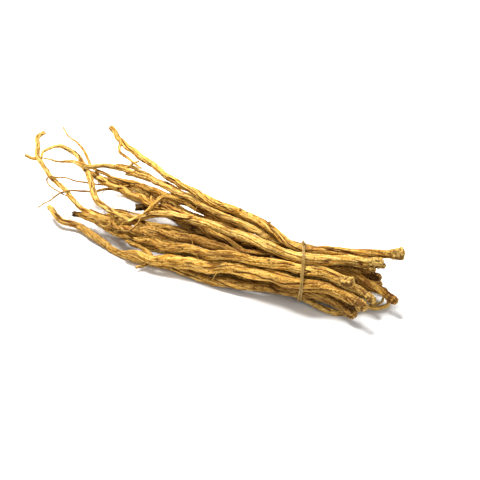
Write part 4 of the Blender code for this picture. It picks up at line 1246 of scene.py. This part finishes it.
def bark_colour_group():
    """Straw ridges streaked lengthwise, painted shade in the furrows, reddish and aged patches, specks and
    the crown.
    """
    colour, value = "NodeSocketColor", "NodeSocketFloat"
    names = [(label, colour) for label in ("Light", "Middle", "Dark Marks And Furrow Shade", "Aged", "Reddish", "Crown Lump")]
    names += [("Place", "NodeSocketVector")]
    names += [(label, value) for label in ("Furrow Shade", "Tone", "Crown", "Scar")]
    tree, came, gives = new_group("bark colour", names, [("Color", colour), ("Roughness", value)])
    place = came["Place"]
    streak = noise(tree, place, (110, 760, 760), 5, 0.62, 0.4)
    mottle = noise(tree, place, (330, 640, 640), 3, 0.65, 0.3)
    split = worked(tree, "SUBTRACT", noise(tree, place, (75, 420, 420), 2, 0.6, 0.6), 0.5)
    crack = worked(tree, "ABSOLUTE", split, 0)
    grain = noise(tree, place, (520, 2600, 2600), 3, 0.6)
    patch = noise(tree, place, (48, 120, 120), 4, 0.55, 0.8)
    stain = noise(tree, place, (95, 210, 210), 4, 0.6, 0.5)
    made = mixed(tree, between(tree, streak, 0.36, 0.6), came["Middle"], came["Light"])
    made = mixed(tree, between(tree, grain, 0.5, 0.75, 0, 0.4), made, came["Middle"])
    aged = worked(tree, "MULTIPLY", came["Tone"], between(tree, patch, 0.3, 0.62, 0.35, 1.0))
    made = mixed(tree, aged, made, came["Aged"])
    made = mixed(tree, between(tree, stain, 0.56, 0.7, 0, 0.62), made, came["Reddish"])
    worn = between(tree, came["Tone"], 0.0, 0.6, 0.5, 1.0)
    dark = worked(tree, "MULTIPLY", between(tree, streak, 0.25, 0.44, 0.7, 0.0), worn)
    made = mixed(tree, dark, made, came["Dark Marks And Furrow Shade"])
    made = mixed(tree, between(tree, grain, 0.24, 0.42, 0.45, 0.0), made, came["Dark Marks And Furrow Shade"])
    # Painted shade: the furrows and creases are darkened towards the dark bark colour.
    furrow_shade = worked(tree, "MULTIPLY", came["Furrow Shade"], between(tree, grain, 0.25, 0.6, 1.15, 0.8))
    made = mixed(tree, between(tree, furrow_shade, 0.05, 0.75, 0, 0.95), made, came["Dark Marks And Furrow Shade"])
    for mark in (between(tree, mottle, 0.3, 0.43, 0.65, 0), between(tree, crack, 0.004, 0.028, 0.85, 0)):
        made = mixed(tree, worked(tree, "MULTIPLY", mark, worn), made, came["Dark Marks And Furrow Shade"])
    speck = tree.nodes.new("ShaderNodeTexVoronoi")
    mapping = tree.nodes.new("ShaderNodeMapping")
    mapping.inputs["Scale"].default_value = (460, 400, 400)
    tree.links.new(place, mapping.inputs["Vector"])
    tree.links.new(mapping.outputs["Vector"], speck.inputs["Vector"])
    speck.inputs["Scale"].default_value = 1
    made = mixed(tree, between(tree, speck.outputs["Distance"], 0.12, 0.27, 0.85, 0), made, came["Dark Marks And Furrow Shade"])
    made = mixed(tree, worked(tree, "MULTIPLY", came["Crown"], 0.8), made, came["Crown Lump"])
    made = mixed(tree, came["Scar"], made, SCAR_COLOUR)
    feed(tree, gives["Color"], made)
    feed(tree, gives["Roughness"], between(tree, streak, 0.3, 0.7, 0.92, 0.7))
    return tree


def bark_relief_group():
    """The papery skin's fine lengthwise threads and cross wrinkles, as a normal."""
    tree, came, gives = new_group(
        "bark relief",
        [("Place", "NodeSocketVector"), ("Depth", "NodeSocketFloat")],
        [("Normal", "NodeSocketVector")],
    )
    place = came["Place"]
    threads = noise(tree, place, (260, 2100, 2100), 4, 0.65, 0.3)
    creases = noise(tree, place, (1300, 420, 420), 3, 0.6, 0.5)
    raised = worked(tree, "MULTIPLY", threads, 0.65)
    height = worked(tree, "ADD", raised, worked(tree, "MULTIPLY", creases, 0.35))
    bump = tree.nodes.new("ShaderNodeBump")
    bump.inputs["Distance"].default_value = 0.0006
    feed(tree, bump.inputs["Strength"], came["Depth"])
    feed(tree, bump.inputs["Height"], height)
    feed(tree, gives["Normal"], bump.outputs["Normal"])
    return tree


def kept(tree, name, kind):
    """A value that the pieces carry on their points."""
    node = tree.nodes.new("ShaderNodeAttribute")
    node.attribute_name = name
    return node.outputs[kind]


def grouped(tree, group):
    """A node that stands for a whole group of nodes."""
    node = tree.nodes.new("ShaderNodeGroup")
    node.node_tree = group
    return node


def root_material(name, colours, groups):
    """Dried root bark in one of the bundle's tints."""
    made = bpy.data.materials.new(name)
    made.use_nodes = True
    tree = made.node_tree
    surface = tree.nodes["Principled BSDF"]
    place = kept(tree, "bark", "Vector")
    colour = grouped(tree, groups["colour"])
    for label, value in colours.items():
        feed(tree, colour.inputs[label], value)
    feed(tree, colour.inputs["Place"], place)
    for label, fact in (("Furrow Shade", "furrow_shade"), ("Tone", "tone"), ("Crown", "crown"), ("Scar", "scar")):
        feed(tree, colour.inputs[label], kept(tree, fact, "Fac"))
    relief = grouped(tree, groups["relief"])
    feed(tree, relief.inputs["Place"], place)
    relief.inputs["Depth"].default_value = 0.9
    feed(tree, surface.inputs["Base Color"], colour.outputs["Color"])
    feed(tree, surface.inputs["Roughness"], colour.outputs["Roughness"])
    feed(tree, surface.inputs["Normal"], relief.outputs["Normal"])
    surface.inputs["Specular IOR Level"].default_value = 0.1
    return made


def band_material():
    """Tan rubber that lets a little light through, with faint dust and stretch lines along it."""
    made = bpy.data.materials.new("tan rubber band")
    made.use_nodes = True
    tree = made.node_tree
    surface = tree.nodes["Principled BSDF"]
    place = kept(tree, "bark", "Vector")
    lines = noise(tree, place, (90, 3200, 3200), 3, 0.6)
    cloud = noise(tree, place, (240, 500, 500), 4, 0.6)
    colour = mixed(tree, between(tree, cloud, 0.35, 0.65), RUBBER_DARK, RUBBER_LIGHT)
    colour = mixed(tree, between(tree, lines, 0.5, 0.75, 0, 0.35), colour, RUBBER_WORN)
    feed(tree, surface.inputs["Base Color"], colour)
    feed(tree, surface.inputs["Roughness"], between(tree, cloud, 0.3, 0.7, 0.32, 0.5))
    surface.inputs["Subsurface Weight"].default_value = 0.25
    surface.inputs["Subsurface Radius"].default_value = (0.0007, 0.0006, 0.0003)
    surface.inputs["Subsurface Scale"].default_value = 1
    bump = tree.nodes.new("ShaderNodeBump")
    bump.inputs["Distance"].default_value = 0.0002
    bump.inputs["Strength"].default_value = 0.4
    feed(tree, bump.inputs["Height"], lines)
    feed(tree, surface.inputs["Normal"], bump.outputs["Normal"])
    return made


def lay_floor():
    """A plain pale surface under the bundle."""
    sheet = bmesh.new()
    bmesh.ops.create_grid(sheet, x_segments=4, y_segments=4, size=4)
    data = bpy.data.meshes.new("pale_floor")
    sheet.to_mesh(data)
    sheet.free()
    floor = bpy.data.objects.new("pale_floor", data)
    bpy.context.scene.collection.objects.link(floor)
    paint = bpy.data.materials.new("pale floor")
    paint.use_nodes = True
    surface = paint.node_tree.nodes["Principled BSDF"]
    surface.inputs["Base Color"].default_value = (*FLOOR_COLOUR, 1)
    surface.inputs["Roughness"].default_value = 0.9
    surface.inputs["Specular IOR Level"].default_value = 0.1
    data.materials.append(paint)


def soft_light(name, place, aim, size, power):
    """A round lamp of this size in metres and power in watts, turned towards a point."""
    lamp = bpy.data.lights.new(name, "AREA")
    lamp.shape = "DISK"
    lamp.size = size
    lamp.energy = power
    lit = bpy.data.objects.new(name, lamp)
    lit.location = place
    lit.rotation_mode = "QUATERNION"
    lit.rotation_quaternion = (Vector(aim) - Vector(place)).to_track_quat("-Z", "Y")
    bpy.context.scene.collection.objects.link(lit)


def light_studio(tie):
    """A large soft light high behind the bundle's left, a weaker one in front, and a pale room."""
    right, _, back = view_axes()
    level = np.array((back[0], back[1], 0)) / math.cos(SEEN_FROM_ABOVE)
    key = tie + 0.9 * (-0.35 * right - 0.25 * level + np.array((0, 0, 1.0)))
    fill = tie + 1.2 * (0.4 * right + 0.8 * level + np.array((0, 0, 0.5)))
    soft_light("key", key, tie, size=0.5, power=22.5)
    soft_light("fill", fill, tie, size=1.0, power=4)
    room = bpy.data.worlds.new("pale room")
    room.use_nodes = True
    sky = room.node_tree.nodes["Background"]
    sky.inputs["Color"].default_value = (1, 1, 1, 1)
    sky.inputs["Strength"].default_value = 0.5
    bpy.context.scene.world = room
    bpy.context.scene.view_settings.view_transform = "Standard"


def place_camera(tie):
    """The viewer's eye, aimed so that the bundle lies in the picture where it does in the photograph."""
    right, upward, back = view_axes()
    eye = tie + SEEN_AT_DISTANCE * MM * back
    aim = tie + CAMERA_AIM[0] * MM * right + CAMERA_AIM[1] * MM * upward
    lens = bpy.data.cameras.new("viewer")
    lens.lens = CAMERA_LENS
    lens.sensor_width = 36
    lens.clip_start = 0.05
    lens.clip_end = 20
    camera = bpy.data.objects.new("viewer", lens)
    camera.location = eye
    heading = (aim - eye) / np.linalg.norm(aim - eye)
    side = np.cross(heading, upward)
    side /= np.linalg.norm(side)
    top = np.cross(side, heading)
    camera.matrix_world = Matrix(
        (
            (side[0], top[0], -heading[0], eye[0]),
            (side[1], top[1], -heading[1], eye[1]),
            (side[2], top[2], -heading[2], eye[2]),
            (0, 0, 0, 1),
        )
    )
    bpy.context.scene.collection.objects.link(camera)
    bpy.context.scene.camera = camera


def main():
    """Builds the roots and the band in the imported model's place, and lays out the picture round them."""
    strands = strands_of_roots()
    settle(strands)
    half, low = BAND_WIDTH / 2, 0.55 * BAND_HEIGHT
    plain_section = (
        (-half, 0), (half, 0), (half, low), (half / 2, BAND_HEIGHT),
        (0, low), (-half / 2, BAND_HEIGHT), (-half, low),
    )
    plain_band = band_rim(band_outline(strands, BAND_POINTS), plain_section)
    corner = np.array(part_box("rubber_band")[0]) / MM
    shift = corner - plain_band.reshape(-1, 3).min(axis=0)
    groups = {"colour": bark_colour_group(), "relief": bark_relief_group()}
    paints = {tint: root_material(f"{tint} dried root", colours, groups) for tint, colours in TINTS.items()}
    for name, piece in make_roots(strands, shift).items():
        tint = ROOTS[name]["tint"]
        piece.data.materials.clear()
        piece.data.materials.append(paints[tint])
        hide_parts(name)
        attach(piece, "root")
    rubber = band_material()
    for strip in make_band(strands, shift):
        strip.data.shade_smooth()
        strip.data.materials.append(rubber)
        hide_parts("rubber_band")
        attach(strip, "root")
    tie = (TIE + shift) * MM
    lay_floor()
    light_studio(tie)
    place_camera(tie)


main()
